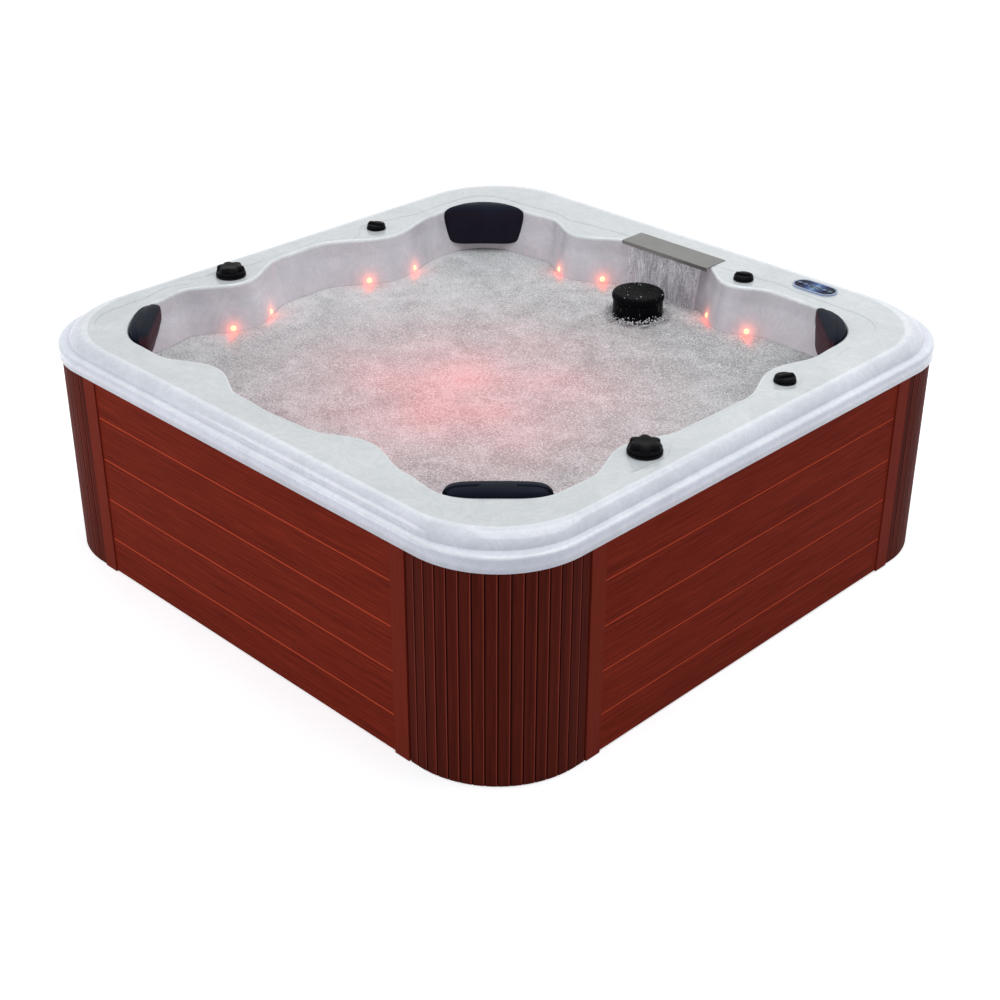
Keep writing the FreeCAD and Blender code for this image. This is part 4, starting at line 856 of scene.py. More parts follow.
def strip_finish():
    material, shader, grain = start_wood("plain mahogany strip", UPRIGHT, (0.270, 0.033, 0.017),
                                         (0.150, 0.018, 0.0095), 0.8)
    settle_wood(shader, grain, grain["Color"], 0.5, 0.25, 0.0006)
    return material


def panel_finish():
    """Upright grain, with painted shade in each flute's groove beside a painted highlight on its red edge,
    and painted shadow in irregular upright streaks.
    """
    material, shader, grain = start_wood("fluted mahogany panel", UPRIGHT, (0.150, 0.022, 0.013),
                                         (0.062, 0.0085, 0.0055))
    tree = material.node_tree
    place = parts_of(object_place(tree))
    out_x = calc("SUBTRACT", calc("ABSOLUTE", place["X"]), SKIRT_FLAT)
    out_y = calc("SUBTRACT", calc("ABSOLUTE", place["Y"]), SKIRT_FLAT)
    count = calc("MULTIPLY", calc("ARCTAN2", out_y, out_x), (FLUTES - 1) / (math.pi / 2))
    beside = calc("FRACT", calc("ADD", count, 0.5))
    # Painted highlight on each flute's edge and painted shade in its groove
    light = calc("COMPARE", beside, 0.5 + FLUTE_EDGE_SHARE, FLUTE_EDGE_SHARE * 0.45)
    dark = calc("COMPARE", beside, 0.5, FLUTE_EDGE_SHARE * 0.62)
    # Painted shadow in irregular upright streaks
    streak = noise_of(object_place(tree, scale=(1, 1, 0.015)), 62.0, 2.0, 0.5)
    shadow = ramp(streak, [(0.36, grey(1)), (0.50, grey(0))])
    color = grain["Color"]
    # Mix in the painted shadow, highlight and shade
    for mask, share, tone in ((shadow, 0.35, (0.030, 0.0050, 0.0040)), (light, 0.80, (0.300, 0.050, 0.030)),
                              (dark, 0.85, (0.014, 0.0030, 0.0026))):
        color = mixed(calc("MULTIPLY", mask, share), color, tone)
    settle_wood(shader, grain, color, 0.55, 0.35, 0.0008)
    return material


def clothe(node, material):
    """Give a carried-over solid its finish in every material slot."""
    piece = nodes[node]
    if not piece.material_slots:
        piece.data.materials.append(material)
    for slot in piece.material_slots:
        slot.material = material


# Pillows: moulded foam skins, crowned in front, rounded at the ends

PILLOW_FOOT = 0.611
PILLOW_TOP = 0.759
PILLOW_HALF = 0.146
PILLOW_DEPTH = 0.071
# Strength of the painted red reflection on each pillow's front
PILLOW_RED_REFLECTION = [0.10, 0.8, 0.10, 0.75]
PILLOW_CROWN = 0.007
PILLOW_GAP = 0.0025
PILLOW_ROWS = 34
PILLOW_SPAN = 48
BACK_SHARE = 0.93
WELD_REACH = 0.0002


def pillow_finish():
    """Black satin skin with fine pores, with a painted red reflection where the mesh carries it."""
    material, tree, shader = new_material("black satin skin")
    place = object_place(tree)
    pores = noise_of(place, 420.0, 3.0, 0.6)
    cloud = noise_of(place, 14.0, 3.0, 0.5)
    color = ramp(cloud, [(0.3, (0.0085, 0.0105, 0.0195)), (0.7, (0.0120, 0.0145, 0.0260))])
    # Painted red reflection
    color = mixed(painted(tree, "red_reflection")["Fac"], color, (0.060, 0.018, 0.024))
    rough = ramp(pores, [(0.3, grey(0.42)), (0.7, grey(0.54))])
    settle(shader, Base_Color=color, Roughness=rough, Specular_IOR_Level=0.045,
           Normal=bump(pores, 0.25, 0.0004))
    return material


def pillow_point(index, across_share, height_share, full, front):
    """A point of a pillow's front or back skin; the skins meet round its rim."""
    x, y, radius = [share * SKIRT_HALF for share in CORNER_ARCS[index]]
    z = PILLOW_FOOT + (PILLOW_TOP - PILLOW_FOOT) * height_share
    outward = Vector((math.copysign(1, x), math.copysign(1, y), 0)).normalized()
    across = Vector((-outward.y, outward.x, 0))
    u = PILLOW_HALF * (0.86 + 0.14 * smooth(-0.1, 0.9, height_share)) * across_share
    turn = math.asin(min(0.7, abs(u) / radius))
    ledge = CORNER_LEDGES[index] * smooth(LEDGE_FOOT, LEDGE_TOP, z)
    back_radius = radius - max(EDGE_IN, inset_at(z)) - PILLOW_GAP - 0.001
    behind = math.sqrt(back_radius ** 2 - (u * BACK_SHARE) ** 2) - ledge * math.cos(2 * turn) ** 2
    depth = PILLOW_DEPTH * (0.62 + 0.38 * smooth(0.0, 0.7, height_share))
    arch = math.sin(math.pi * min(1, height_share * 0.9 + 0.1))
    face = back_radius - ledge - depth - PILLOW_CROWN * (1 - across_share ** 2) * arch
    middle = behind + (face - behind) * 0.45
    v = middle + ((face if front else behind) - middle) * full
    return Vector((x, y, 0)) + across * (u if front else u * BACK_SHARE) + outward * v + Vector((0, 0, z))


def pillow_shares(column, row):
    """Spread the grid over a rounded outline with an arched top; the third share is the fullness there."""
    a = math.sin(math.pi / 2 * (-1 + 2 * column / PILLOW_SPAN))
    b = math.sin(math.pi / 2 * (-1 + 2 * row / PILLOW_ROWS))
    squeeze_a = math.sqrt(max(0.0, 1 - 0.20 * abs(b) ** 6))
    squeeze_b = math.sqrt(max(0.0, 1 - 0.24 * abs(a) ** 6))
    arch = 1 - 0.05 * a * a if b > 0 else 1
    ends = max(0.0, 1 - abs(a) ** 12) ** 0.5
    tips = max(0.0, 1 - abs(b) ** (16 if b > 0 else 9)) ** 0.5
    return a * squeeze_a, 0.5 + 0.5 * b * squeeze_b * arch, ends * tips


def make_pillow(index, material):
    shares = [[pillow_shares(column, row) for column in range(PILLOW_SPAN + 1)]
              for row in range(PILLOW_ROWS + 1)]
    sheets = [[[pillow_point(index, *share, front) for share in row] for row in shares]
              for front in (True, False)]
    name = CORNER_NAMES[index]
    piece = mesh_piece("pillow_skin_" + name, *join_sheets(*sheets))
    piece.data.attributes.new("red_reflection", "FLOAT", "POINT")
    red_reflection = piece.data.attributes["red_reflection"].data
    heights = [share[1] for row in shares for share in row]
    for number, height in enumerate(heights + [1.0] * len(heights)):
        # Painted red reflection on the front skin, fading out near the top; none on the back
        red_reflection[number].value = PILLOW_RED_REFLECTION[index] * (1 - smooth(0.84, 0.95, height))
    work = bmesh.new()
    work.from_mesh(piece.data)
    bmesh.ops.remove_doubles(work, verts=work.verts, dist=WELD_REACH)
    bmesh.ops.dissolve_degenerate(work, edges=work.edges, dist=WELD_REACH / 2)
    work.to_mesh(piece.data)
    work.free()
    turn_faces_outward(piece.data)
    shade(piece.data, True)
    keep(piece, "tub", material, ["pillow_" + name])


# Knobs

DIVERTER_SEAT = 0.752
DIVERTER_TURNS = {"left": 40, "right": 12}
DIVERTER_PROFILE = [
    (0.004, 0.0002), (0.0455, 0.0002), (0.0470, 0.0016), (0.0470, 0.0088), (0.0465, 0.0101),
    (0.0455, 0.0106), (0.0459, 0.0110), (0.0460, 0.0140), (0.0458, 0.0180), (0.0448, 0.0217),
    (0.0422, 0.0243), (0.0370, 0.0258), (0.0290, 0.0262), (0.0180, 0.0256), (0.004, 0.0250)]
SKIRT_RINGS = 5
LOBES = 6
SCOOP_SHARE = 0.23
AIR_SEAT = 0.749
AIR_TURNS = {"left": 20, "right": 64, "back": 28}
AIR_PROFILE = [
    (0.004, 0.0002), (0.0302, 0.0002), (0.0317, 0.0012), (0.0320, 0.004), (0.0316, 0.0078), (0.0302, 0.0105),
    (0.0282, 0.0118), (0.0255, 0.0121), (0.021, 0.0118), (0.012, 0.0116), (0.004, 0.0115)]
GRIP_HALF = 0.0285
GRIP_WAIST = 0.0082
GRIP_FLARE = 0.0020
GRIP_FOOT = 0.0110
GRIP_RISE = 0.0072
GRIP_LONG_STEPS = 26
GRIP_WIDE_STEPS = 10
FILTER_CAP_DEPTH = 0.024
FILTER_CAP_PROFILE = [
    (0.004, 0.0), (0.060, 0.0), (0.0840, 0.0003), (0.0868, 0.0018), (0.0878, 0.005), (0.0880, 0.010),
    (0.0876, 0.0150), (0.0860, 0.0190), (0.0825, 0.0222), (0.0770, 0.0236), (0.0700, 0.0240),
    (0.050, 0.0238), (0.030, 0.0236), (0.004, 0.0235)]
FILTER_RIDGES = 40
RIDGE_DEPTH = 0.0010


def lathe_piece(name, profile, steps, radius_at=None):
    """Turn a profile of radii and heights round Z; the radius may change with the angle."""
    vertices = []
    for ring, (radius, z) in enumerate(profile):
        for step in range(steps):
            angle = 2 * math.pi * step / steps
            reach = radius_at(angle, ring, radius) if radius_at else radius
            vertices.append(Vector((reach * math.cos(angle), reach * math.sin(angle), z)))
    faces = grid_faces(len(profile), steps)
    for row in (0, len(profile) - 1):
        close_ring(vertices, faces, row * steps, steps, profile[row][1])
    return mesh_piece(name, vertices, faces)


def shift_mesh(piece, x, y, z, degrees=0.0):
    piece.data.transform(Matrix.Translation((x, y, z)) @ Matrix.Rotation(math.radians(degrees), 4, "Z"))
    return piece


def scooped(angle, ring, radius):
    """The scoops between a diverter's lobes reach down to its round skirt."""
    if ring < SKIRT_RINGS:
        return radius
    wave = (0.5 - 0.5 * math.cos(LOBES * angle)) ** 1.2
    return radius * (1 - SCOOP_SHARE * wave * smooth(0.010, 0.040, radius))


def ridged(angle, ring, radius):
    """Fine upright ridges round the side of the filter cap."""
    on_side_wall = radius > 0.08 and ring < 7
    return radius - (RIDGE_DEPTH if on_side_wall and math.cos(FILTER_RIDGES * angle) > 0.2 else 0.0)


def air_cap(name):
    """Low disc with a raised, waisted grip across it."""
    disc = lathe_piece(name, AIR_PROFILE, 72)
    work = bmesh.new()
    work.from_mesh(disc.data)
    grid = []
    for i in range(GRIP_LONG_STEPS + 1):
        a = -1 + 2 * i / GRIP_LONG_STEPS
        half = GRIP_WAIST + GRIP_FLARE * a * a
        ends = max(0.0, 1 - abs(a) ** 10) ** 0.5
        row = []
        for j in range(GRIP_WIDE_STEPS + 1):
            b = -1 + 2 * j / GRIP_WIDE_STEPS
            hump = max(0.0, 1 - abs(b) ** 4) ** 0.5
            row.append(work.verts.new((a * GRIP_HALF, b * half, GRIP_FOOT + GRIP_RISE * hump * ends)))
        grid.append(row)
    for row, beyond in zip(grid, grid[1:]):
        for j in range(GRIP_WIDE_STEPS):
            face = work.faces.new((row[j], beyond[j], beyond[j + 1], row[j + 1]))
            face.smooth = True
    rim = [row[0] for row in grid] + grid[-1][1:] + [row[-1] for row in grid[-2::-1]] + grid[0][-2:0:-1]
    work.faces.new(rim[::-1])
    work.to_mesh(disc.data)
    work.free()
    turn_faces_outward(disc.data)
    return disc


def make_knobs(material):
    for side, (x, y) in DIVERTERS.items():
        cap = lathe_piece("diverter_cap_" + side, DIVERTER_PROFILE, 120, scooped)
        shift_mesh(cap, x, y, DIVERTER_SEAT, DIVERTER_TURNS[side])
        keep(cap, "diverter_" + side, material, ["diverter_knob_" + side])
    for side, (x, y) in AIR_KNOBS.items():
        cap = shift_mesh(air_cap("air_cap_" + side), x, y, AIR_SEAT, AIR_TURNS[side])
        keep(cap, "air_" + side, material, ["air_knob_" + side])


def make_filter_cap(material):
    cap = lathe_piece("filter_cap_skin", FILTER_CAP_PROFILE, 240, ridged)
    shift_mesh(cap, FILTER_X, FILTER_Y, FILTER_TOP - FILTER_CAP_DEPTH)
    keep(cap, "filter_top", material, ["filter_cap"])


def wet_black_finish():
    """Black plastic under running water: streaks, drops and white flecks."""
    material, tree, shader = new_material("wet black plastic")
    place = object_place(tree)
    patch = noise_of(place, 38.0, 4.0, 0.65, 0.4)
    bead = ramp(cells_of(place, 130.0), [(0.0, grey(1)), (0.34, grey(0))])
    streak = noise_of(object_place(tree, scale=(1, 1, 0.12)), 150.0, 3.0, 0.6)
    fleck = calc("MULTIPLY", bead, calc("GREATER_THAN", patch, 0.685))
    run = calc("MULTIPLY", calc("GREATER_THAN", streak, 0.655), 0.22)
    color = mixed(calc("MAXIMUM", fleck, run), (0.0042, 0.0040, 0.0048), (0.42, 0.40, 0.42))
    height = calc("MULTIPLY_ADD", bead, 0.5, patch)
    settle(shader, Base_Color=color, Roughness=0.2, Specular_IOR_Level=0.014,
           Normal=bump(height, 0.8, 0.002))
    return material


def brushed_finish():
    """Brushed stainless plate, the lines running along the plate."""
    material, tree, shader = new_material("brushed stainless steel")
    line = noise_of(object_place(tree, scale=(1, 90, 90)), 12.0, 4.0, 0.6)
    cloud = noise_of(object_place(tree), 8.0, 3.0, 0.5)
    both = calc("MULTIPLY_ADD", cloud, 0.5, calc("MULTIPLY", line, 0.5))
    color = ramp(both, [(0.3, (0.190, 0.190, 0.182)), (0.7, (0.272, 0.272, 0.260))])
    rough = ramp(line, [(0.3, grey(0.30)), (0.7, grey(0.42))])
    settle(shader, Base_Color=color, Metallic=0.85, Roughness=rough,
           Normal=bump(line, 0.12, 0.0002))
    return material


def panel_sky_finish():
    """Blue panel film: pale in the middle and navy at both ends, with soft clouding."""
    material, tree, shader = new_material("blue panel film")
    place = parts_of(object_place(tree, shift=(-PANEL_X, -PANEL_Y, 0)))
    cloud = noise_of(object_place(tree), 45.0, 4.0, 0.6)
    end = calc("DIVIDE", calc("ABSOLUTE", place["X"]), 0.074)
    side = calc("MULTIPLY", calc("ABSOLUTE", place["Y"]), 7.0)
    away = calc("ADD", end, calc("MULTIPLY", side, 0.7))
    both = calc("ADD", away, calc("MULTIPLY", cloud, 0.35))
    color = ramp(both, [(0.20, (0.26, 0.42, 0.62)), (0.42, (0.055, 0.120, 0.310)),
                        (0.68, (0.008, 0.020, 0.085)), (0.95, (0.002, 0.004, 0.018))])
    settle(shader, Base_Color=color, Roughness=0.2, Specular_IOR_Level=0.05)
    return material


def lens_finish(name, core, edge, strength):
    """A lit lens, its colour broken between two tones."""
    material, tree, shader = new_material(name)
    color = ramp(noise_of(object_place(tree), 220.0, 2.0, 0.5), [(0.3, edge), (0.55, core)])
    settle(shader, Base_Color=color, Emission_Color=color, Emission_Strength=strength, Roughness=0.2)
    return material


# Control panel marks: round icons on the buttons and plain digits on the display

MARK_THICKNESS = 0.0003
MARK_SINK = 0.0001
BUTTON_PLACES = [-0.058, -0.037, 0.037, 0.058]
SEGMENTS = {"1": "bc", "2": "abged", "0": "abcdef"}
DIGIT_PLACES = [("1", -0.0135), ("0", -0.0025), ("2", 0.0085)]
DIGIT_FOOT = 0.0052
DIGIT_WIDE = 0.0058
DIGIT_HIGH = 0.0104
DIGIT_BAR = 0.0016
FRAME_WIDE = 0.0205
FRAME_HIGH = 0.0085
FRAME_BAR = 0.0013
BAR_OVERHANG = 0.4


def flat_shapes(name, outlines, z):
    """Thin raised marks from plan outlines."""
    vertices = []
    faces = []
    for outline in outlines:
        start = len(vertices)
        count = len(outline)
        vertices += [Vector((x, y, height)) for height in (z, z + MARK_THICKNESS) for x, y in outline]
        faces.append(tuple(range(start + count - 1, start - 1, -1)))
        faces.append(tuple(range(start + count, start + 2 * count)))
        for i in range(count):
            j = (i + 1) % count
            faces.append((start + i, start + j, start + count + j, start + count + i))
    return mesh_piece(name, vertices, faces, rounded=False)


def bar(x0, y0, x1, y1, width):
    way = Vector((x1 - x0, y1 - y0)).normalized() * (width / 2)
    side = Vector((-way.y, way.x))
    start = Vector((x0, y0)) - way * BAR_OVERHANG
    end = Vector((x1, y1)) + way * BAR_OVERHANG
    return [start - side, end - side, end + side, start + side]


def digit_bars(digit, x, y, wide, high):
    half = high / 2
    ends = {"a": (0, high, wide, high), "b": (wide, high, wide, half), "c": (wide, half, wide, 0),
            "d": (0, 0, wide, 0), "e": (0, half, 0, 0), "f": (0, high, 0, half), "g": (0, half, wide, half)}
    bars = [ends[segment] for segment in SEGMENTS[digit]]
    return [bar(x + x0, y + y0, x + x1, y + y1, DIGIT_BAR) for x0, y0, x1, y1 in bars]


def make_display_digits(material):
    outlines = []
    for digit, place in DIGIT_PLACES:
        outlines += digit_bars(digit, PANEL_X + place, PANEL_Y - DIGIT_FOOT, DIGIT_WIDE, DIGIT_HIGH)
    corners = [(-FRAME_WIDE, -FRAME_HIGH), (FRAME_WIDE, -FRAME_HIGH), (FRAME_WIDE, FRAME_HIGH),
               (-FRAME_WIDE, FRAME_HIGH)]
    for (x0, y0), (x1, y1) in zip(corners, corners[1:] + corners[:1]):
        outlines.append(bar(PANEL_X + x0, PANEL_Y + y0, PANEL_X + x1, PANEL_Y + y1, FRAME_BAR))
    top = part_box("control_panel_display")[1][2]
    keep(flat_shapes("display_digits", outlines, top - MARK_SINK), "tub", material)


def ring_outline(x, y, outer, inner, steps=28):
    """A ring as two half-ring outlines."""
    halves = []
    for first in (0, 1):
        angles = [math.pi * (first + step / (steps / 2)) for step in range(steps // 2 + 1)]
        halves.append([(x + outer * math.cos(a), y + outer * math.sin(a)) for a in angles]
                      + [(x + inner * math.cos(a), y + inner * math.sin(a)) for a in reversed(angles)])
    return halves


def button_sign(number, x, y):
    """Plain signs: up arrow, down arrow, lamp ring and wave bars."""
    if number in (1, 2):
        up = 1 if number == 1 else -1
        return [[(x - 0.0034, y - 0.0018 * up), (x + 0.0034, y - 0.0018 * up), (x, y + 0.0034 * up)][::up]]
    if number == 3:
        return ring_outline(x, y, 0.0034, 0.0022)
    return [bar(x - 0.0032, y + k * 0.0022, x + 0.0032, y + k * 0.0022, 0.0009) for k in (-1, 0, 1)]


def make_button_icons(material):
    for number, place in enumerate(BUTTON_PLACES, 1):
        x, y = PANEL_X + place, PANEL_Y
        outlines = button_sign(number, x, y) + ring_outline(x, y, 0.0074, 0.0066)
        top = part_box("control_button_%d" % number)[1][2]
        marks = flat_shapes("button_icon_%d" % number, outlines, top - MARK_SINK)
        keep(marks, "button_%d" % number, material)


# Falling water and splashes

FALL_TOP = 0.737
FALL_FOOT = WATER_LEVEL - 0.004
FALL_COLUMNS = 150
FALL_ROWS = 30
FALL_HALF = 0.160
FALL_NARROWING = 0.012
FALL_THICKNESS = 0.0022
FALL_BOW = 0.020
DROP_SEED = 7
FLAT_RISE = 0.6


def fall_finish():
    """Thin falling water: clear with white streaks, and broken near its foot."""
    material, tree, shader = new_material("falling water")
    streak = noise_of(object_place(tree, scale=(1, 1, 0.07)), 160.0, 5.0, 0.7, 0.3)
    broad = noise_of(object_place(tree, scale=(1, 1, 0.3)), 22.0, 4.0, 0.6)
    both = calc("MULTIPLY_ADD", broad, 0.6, calc("MULTIPLY", streak, 0.6))
    alpha = ramp(both, [(0.44, grey(0.05)), (0.58, grey(0.42)), (0.72, grey(0.95))])
    color = ramp(streak, [(0.4, (0.66, 0.60, 0.67)), (0.62, (0.98, 0.97, 0.99))])
    settle(shader, Base_Color=color, Alpha=alpha, Roughness=0.15, IOR=WATER_IOR,
           Normal=bump(both, 0.6, 0.003))
    return material


def fall_point(column, row, back):
    share = row / FALL_ROWS
    x = PLATE_X + (-1 + 2 * column / FALL_COLUMNS) * (FALL_HALF - FALL_NARROWING * share)
    ripple = noise.noise(Vector((x * 40, share * 1.6, 1.0))) * 0.005 * share
    y = PLATE_FRONT + 0.010 - FALL_BOW * math.sqrt(share) + ripple + back
    return Vector((x, y, FALL_TOP + (FALL_FOOT - FALL_TOP) * share))


def make_fall(material):
    """A thin closed sheet of water from the plate's lip down to the froth."""
    sheets = [[[fall_point(column, row, back) for column in range(FALL_COLUMNS + 1)]
               for row in range(FALL_ROWS + 1)] for back in (0.0, FALL_THICKNESS)]
    keep(mesh_piece("falling_water", *join_sheets(*sheets)), "tub", material)


def drop_mesh(work, spot, radius, rise, seed):
    """One splash drop: a small uneven pebble, joined into the piece."""
    made = bmesh.ops.create_icosphere(work, subdivisions=1, radius=radius)
    for vertex in made["verts"]:
        push = 1 + 0.35 * noise.noise(vertex.co * 900 + Vector((seed, 0, 0)))
        vertex.co = Vector((vertex.co.x * push, vertex.co.y * push, vertex.co.z * push * rise)) + spot


def splash_finish():
    material, tree, shader = new_material("splash drops")
    cloud = noise_of(object_place(tree), 260.0, 2.0, 0.5)
    color = ramp(cloud, [(0.35, (0.50, 0.50, 0.52)), (0.65, (0.90, 0.90, 0.92))])
    settle(shader, Base_Color=color, Roughness=0.12, IOR=WATER_IOR)
    return material


def beside_filter(around, reach, z):
    return Vector((FILTER_X + reach * math.cos(around), FILTER_Y + reach * math.sin(around), z))


def filter_foot_spot(draw):
    around = draw.uniform(0, 2 * math.pi)
    reach = FILTER_RADIUS + abs(draw.gauss(0.002, 0.015))
    return beside_filter(around, reach, WATER_LEVEL + abs(draw.gauss(0.004, 0.010)))


def fall_foot_spot(draw):
    x = PLATE_X + draw.uniform(-0.165, 0.165)
    y = PLATE_FRONT - 0.012 + draw.gauss(0, 0.016)
    return Vector((x, y, WATER_LEVEL + abs(draw.gauss(0.003, 0.008))))


def sheet_spot(draw):
    share = draw.random() ** 1.3
    x = PLATE_X + draw.uniform(-FALL_HALF, FALL_HALF)
    y = PLATE_FRONT - 0.002 - FALL_BOW * math.sqrt(share) + draw.gauss(0, 0.006)
    return Vector((x, y, FALL_TOP - 0.012 + (WATER_LEVEL - FALL_TOP) * share))


def cap_spot(draw):
    around = draw.uniform(0, 2 * math.pi)
    return beside_filter(around, 0.085 * math.sqrt(draw.random()), FILTER_TOP + 0.0006)


# Number of drops, where they are, their smallest and largest radius, how tall they are drawn, and a seed
DROP_GROUPS = [
    (900, filter_foot_spot, (0.0010, 0.0030), (0.8, 1.6), 0.0),
    (300, fall_foot_spot, (0.0010, 0.0028), (0.8, 1.5), 0.5),
    (620, sheet_spot, (0.0008, 0.0019), (1.2, 3.2), 0.7),
    (14, cap_spot, (0.0010, 0.0026), None, 0.2),
]


def make_splashes(material):
    draw = random.Random(DROP_SEED)
    work = bmesh.new()
    for total, place, sizes, rises, seed in DROP_GROUPS:
        for count in range(total):
            spot = place(draw)
            radius = draw.uniform(*sizes)
            rise = draw.uniform(*rises) if rises else FLAT_RISE
            drop_mesh(work, spot, radius, rise, count + seed)
    mesh = bpy.data.meshes.new("splash_drops")
    work.to_mesh(mesh)
    work.free()
    keep(place_mesh("splash_drops", mesh), "tub", material)


# Finishes of the solids that keep their own shape

# Name, light and dark tone, lowest and highest roughness, speckles, other values, nodes
HIDDEN_FINISHES = [
    ("pale foam", (0.72, 0.66, 0.50), (0.56, 0.50, 0.36), 0.85, 0.95, 60.0, {"relief": 0.002},
     ["footwell_blocks", "insulation_panels"]),
    ("black moulded tray", (0.030, 0.030, 0.032), (0.016, 0.016, 0.018), 0.5, 0.7, 50.0, {"relief": 0.0006},
     ["base_tray"]),
    ("galvanised steel", (0.50, 0.51, 0.52), (0.34, 0.35, 0.36), 0.32, 0.5, 30.0, {"metallic": 0.9},
     ["base_frame", "frame_posts", "top_rail", "heater_tube", "pump_rotor_right", "pump_rotor_left"]),
    ("black inner plastic", (0.035, 0.035, 0.037), (0.020, 0.020, 0.022), 0.4, 0.6, 60.0, {},
     ["pillow_pins", "waterfall_body", "light_housings", "filter_fitting", "pump_wet_ends"]),
    ("white moulded plastic", (0.78, 0.78, 0.76), (0.66, 0.66, 0.64), 0.35, 0.5, 60.0, {},
     ["suction_fittings", "drain_fitting", "drain_cap"]),
    ("white pipe", (0.74, 0.75, 0.74), (0.62, 0.63, 0.62), 0.35, 0.5, 40.0, {}, ["spa_pipes"]),
    ("grey jet plastic", (0.34, 0.35, 0.36), (0.24, 0.25, 0.26), 0.3, 0.45, 60.0, {}, ["jet_bodies"]),
    ("steel jet face", (0.60, 0.60, 0.61), (0.45, 0.45, 0.46), 0.15, 0.3, 50.0, {"metallic": 0.9},
     ["jet_nozzles"] + ["rotary_jet_" + name for name in CORNER_NAMES]),
    ("grey painted motor", (0.18, 0.19, 0.21), (0.11, 0.12, 0.13), 0.45, 0.6, 45.0, {"relief": 0.0004},
     ["pump_motors"]),
    ("pleated filter paper", (0.80, 0.80, 0.76), (0.62, 0.62, 0.58), 0.8, 0.95, 90.0, {"relief": 0.0008},
     ["filter_cartridge"]),
    ("grey control box", (0.26, 0.27, 0.28), (0.19, 0.20, 0.21), 0.4, 0.6, 45.0, {}, ["control_box"]),
]


def clothe_hidden():
    for name, light, dark, sleek, rough, scale, others, names in HIDDEN_FINISHES:
        material = plain_finish(name, light, dark, sleek, rough, scale, **others)
        for node in names:
            clothe(node, material)


def clothe_seen():
    knob = plain_finish("gloss black plastic", (0.010, 0.010, 0.011), (0.006, 0.006, 0.007),
                        0.20, 0.30, 120.0, relief=0.0002, gloss=0.03)
    wet = wet_black_finish()
    for quarter, side in enumerate(SIDE_NAMES):
        clothe("side_boards_" + side, board_finish("mahogany boards " + side, (0, 0, -math.pi / 2 * quarter)))
    panel = panel_finish()
    for name in CORNER_NAMES:
        clothe("corner_panel_" + name, panel)
    clothe("trim_strips", strip_finish())
    clothe("diverter_valves", knob)
    clothe("air_valves", knob)
    clothe("waterfall_plate", brushed_finish())
    clothe("control_panel_housing", plain_finish("pale bezel", (0.34, 0.42, 0.60), (0.22, 0.29, 0.46),
                                                 0.15, 0.3, 80.0, coat=0.4))
    sky = panel_sky_finish()
    clothe("control_panel_fascia", sky)
    clothe("control_panel_display", plain_finish("dark display glass", (0.006, 0.008, 0.010),
                                                 (0.003, 0.004, 0.005), 0.12, 0.2, 90.0, gloss=0.03))
    for number in range(1, 5):
        clothe("control_button_%d" % number, sky)
    clothe("led_lenses", lens_finish("lit red lens", (1.0, 0.68, 0.33), (1.0, 0.40, 0.17), 1.6))
    clothe("light_lens", lens_finish("large red light", (1.0, 0.12, 0.10), (0.8, 0.04, 0.03), 2.0))
    clothe("filter_cage", wet)
    mark = plain_finish("pale print", (0.46, 0.62, 0.80), (0.36, 0.52, 0.70), 0.3, 0.4, 90.0)
    make_display_digits(mark)
    make_button_icons(mark)
    make_knobs(knob)
    make_filter_cap(wet)


# Camera, at the photograph's viewing angle

CAMERA_TURN = math.radians(44.661)
CAMERA_LIFT = math.radians(29.364)
CAMERA_ROLL = math.radians(0.182)
CAMERA_PLACE = (3.4597, -3.4843, 2.8703)
SENSOR_WIDTH = 36.0
LENS_SHARE = 1.71152


def make_camera():
    right = Vector((math.cos(CAMERA_TURN), math.sin(CAMERA_TURN), 0))
    level = math.cos(CAMERA_LIFT)
    back = Vector((math.sin(CAMERA_TURN) * level, -math.cos(CAMERA_TURN) * level, math.sin(CAMERA_LIFT)))
    up = back.cross(right)
    rolled_right = right * math.cos(CAMERA_ROLL) + up * math.sin(CAMERA_ROLL)
    rolled_up = up * math.cos(CAMERA_ROLL) - right * math.sin(CAMERA_ROLL)
    data = bpy.data.cameras.new("camera")
    data.sensor_fit = "AUTO"
    data.sensor_width = SENSOR_WIDTH
    data.lens = LENS_SHARE * SENSOR_WIDTH
    data.clip_end = 100
    camera = bpy.data.objects.new("camera", data)
    bpy.context.scene.collection.objects.link(camera)
    turn = Matrix((rolled_right, rolled_up, back)).transposed().to_4x4()
    camera.matrix_world = Matrix.Translation(CAMERA_PLACE) @ turn
    bpy.context.scene.camera = camera


# Studio

FLOOR_REACH = 30.0
FLOOR_GLOW = 0.62
WORLD_LEVEL = 0.50

# Name, place, what it aims at, side length and power of each lamp
LAMPS = [
    ("overhead", (0.8, 0.7, 4.2), (0, 0, 0.6), 3.2, 66),
    ("left_front", (-2.6, -4.6, 1.9), (0, 0, 0.3), 2.4, 46),
    ("right_side", (4.8, -1.2, 1.8), (0, 0, 0.3), 2.2, 2),
]


def seen_rays(tree):
    """One for rays from the camera, off gloss or through glass, and nought for the rest."""
    path = new_node(tree, "LightPath").outputs
    return calc("MAXIMUM", path["Is Camera Ray"],
                calc("MAXIMUM", path["Is Glossy Ray"], path["Is Transmission Ray"]))


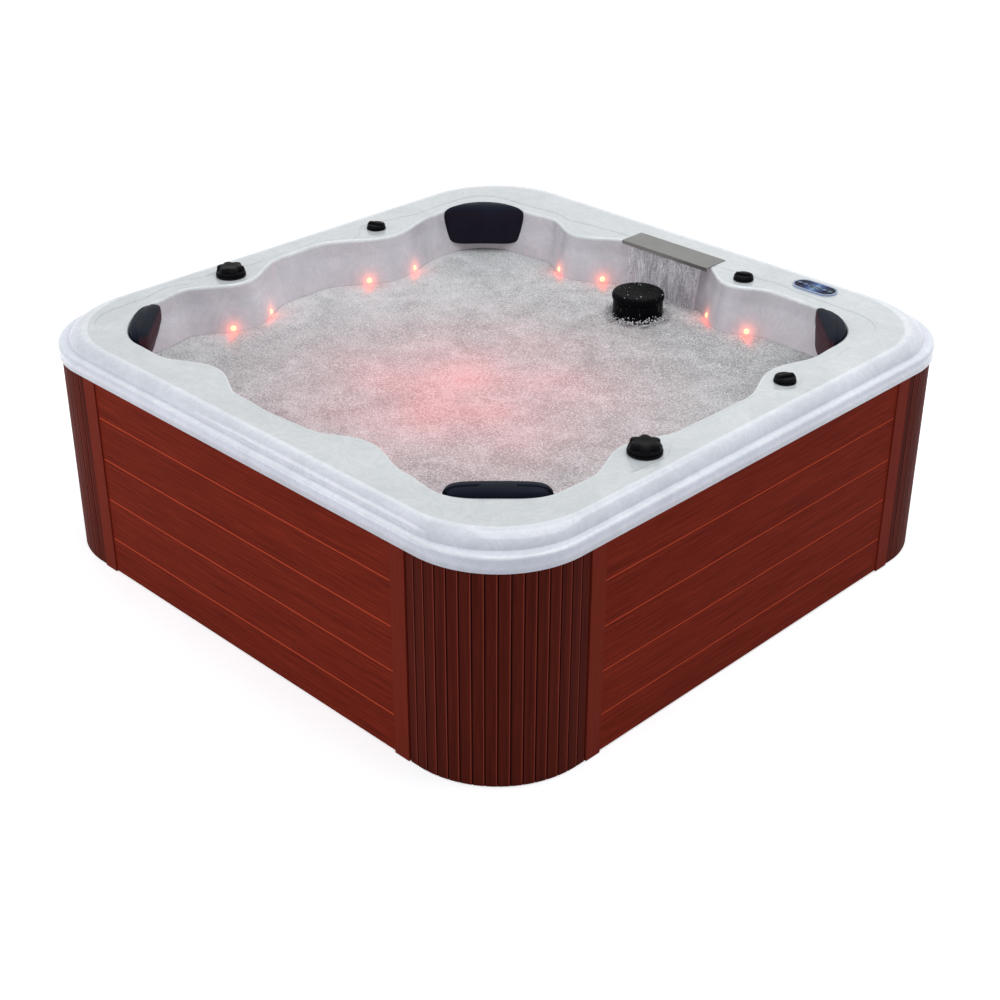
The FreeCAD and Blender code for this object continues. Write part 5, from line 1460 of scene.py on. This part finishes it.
def floor_finish():
    """White floor for the camera and for gloss, which keeps the tub's soft shadow."""
    material, tree, shader = new_material("white studio floor")
    cloud = noise_of(object_place(tree), 3.0, 2.0, 0.5)
    color = ramp(cloud, [(0.3, grey(0.90)), (0.7, grey(0.93))])
    settle(shader, Base_Color=color, Roughness=0.9, Specular_IOR_Level=0.1)
    glow = new_node(tree, "Emission", Strength=calc("MULTIPLY", seen_rays(tree), FLOOR_GLOW))
    total = tree.nodes.new("ShaderNodeAddShader")
    tree.links.new(shader.outputs["BSDF"], total.inputs[0])
    tree.links.new(glow.outputs["Emission"], total.inputs[1])
    tree.links.new(total.outputs["Shader"], tree.nodes["Material Output"].inputs["Surface"])
    return material


def make_studio():
    corners = [(-FLOOR_REACH, -FLOOR_REACH, 0), (FLOOR_REACH, -FLOOR_REACH, 0),
               (FLOOR_REACH, FLOOR_REACH, 0), (-FLOOR_REACH, FLOOR_REACH, 0)]
    floor = mesh_piece("studio_floor", corners, [(0, 1, 2, 3)])
    floor.data.materials.append(floor_finish())
    world = bpy.data.worlds.new("studio")
    bpy.context.scene.world = world
    world.use_nodes = True
    tree = world.node_tree
    seen = seen_rays(tree)
    settle(tree.nodes["Background"], Color=mixed(seen, (0.90, 0.94, 1.0), (1.0, 1.0, 1.0)),
           Strength=calc("MULTIPLY_ADD", seen, 1.0 - WORLD_LEVEL, WORLD_LEVEL))


def make_lamps():
    for name, place, aim, size, power in LAMPS:
        data = bpy.data.lights.new(name, "AREA")
        data.shape = "SQUARE"
        data.size = size
        data.energy = power
        lamp = bpy.data.objects.new(name, data)
        bpy.context.scene.collection.objects.link(lamp)
        lamp.location = place
        lamp.rotation_euler = (Vector(aim) - Vector(place)).to_track_quat("-Z", "Y").to_euler()


bpy.context.scene.view_settings.view_transform = "Standard"

keep(make_shell(), "tub", acrylic_finish(), ["acrylic_shell"])
keep(make_water(), "tub", water_finish())
pillow_skin = pillow_finish()
for corner in range(4):
    make_pillow(corner, pillow_skin)
clothe_hidden()
clothe_seen()
make_fall(fall_finish())
make_splashes(splash_finish())
make_camera()
make_studio()
make_lamps()

bpy.context.view_layer.update()
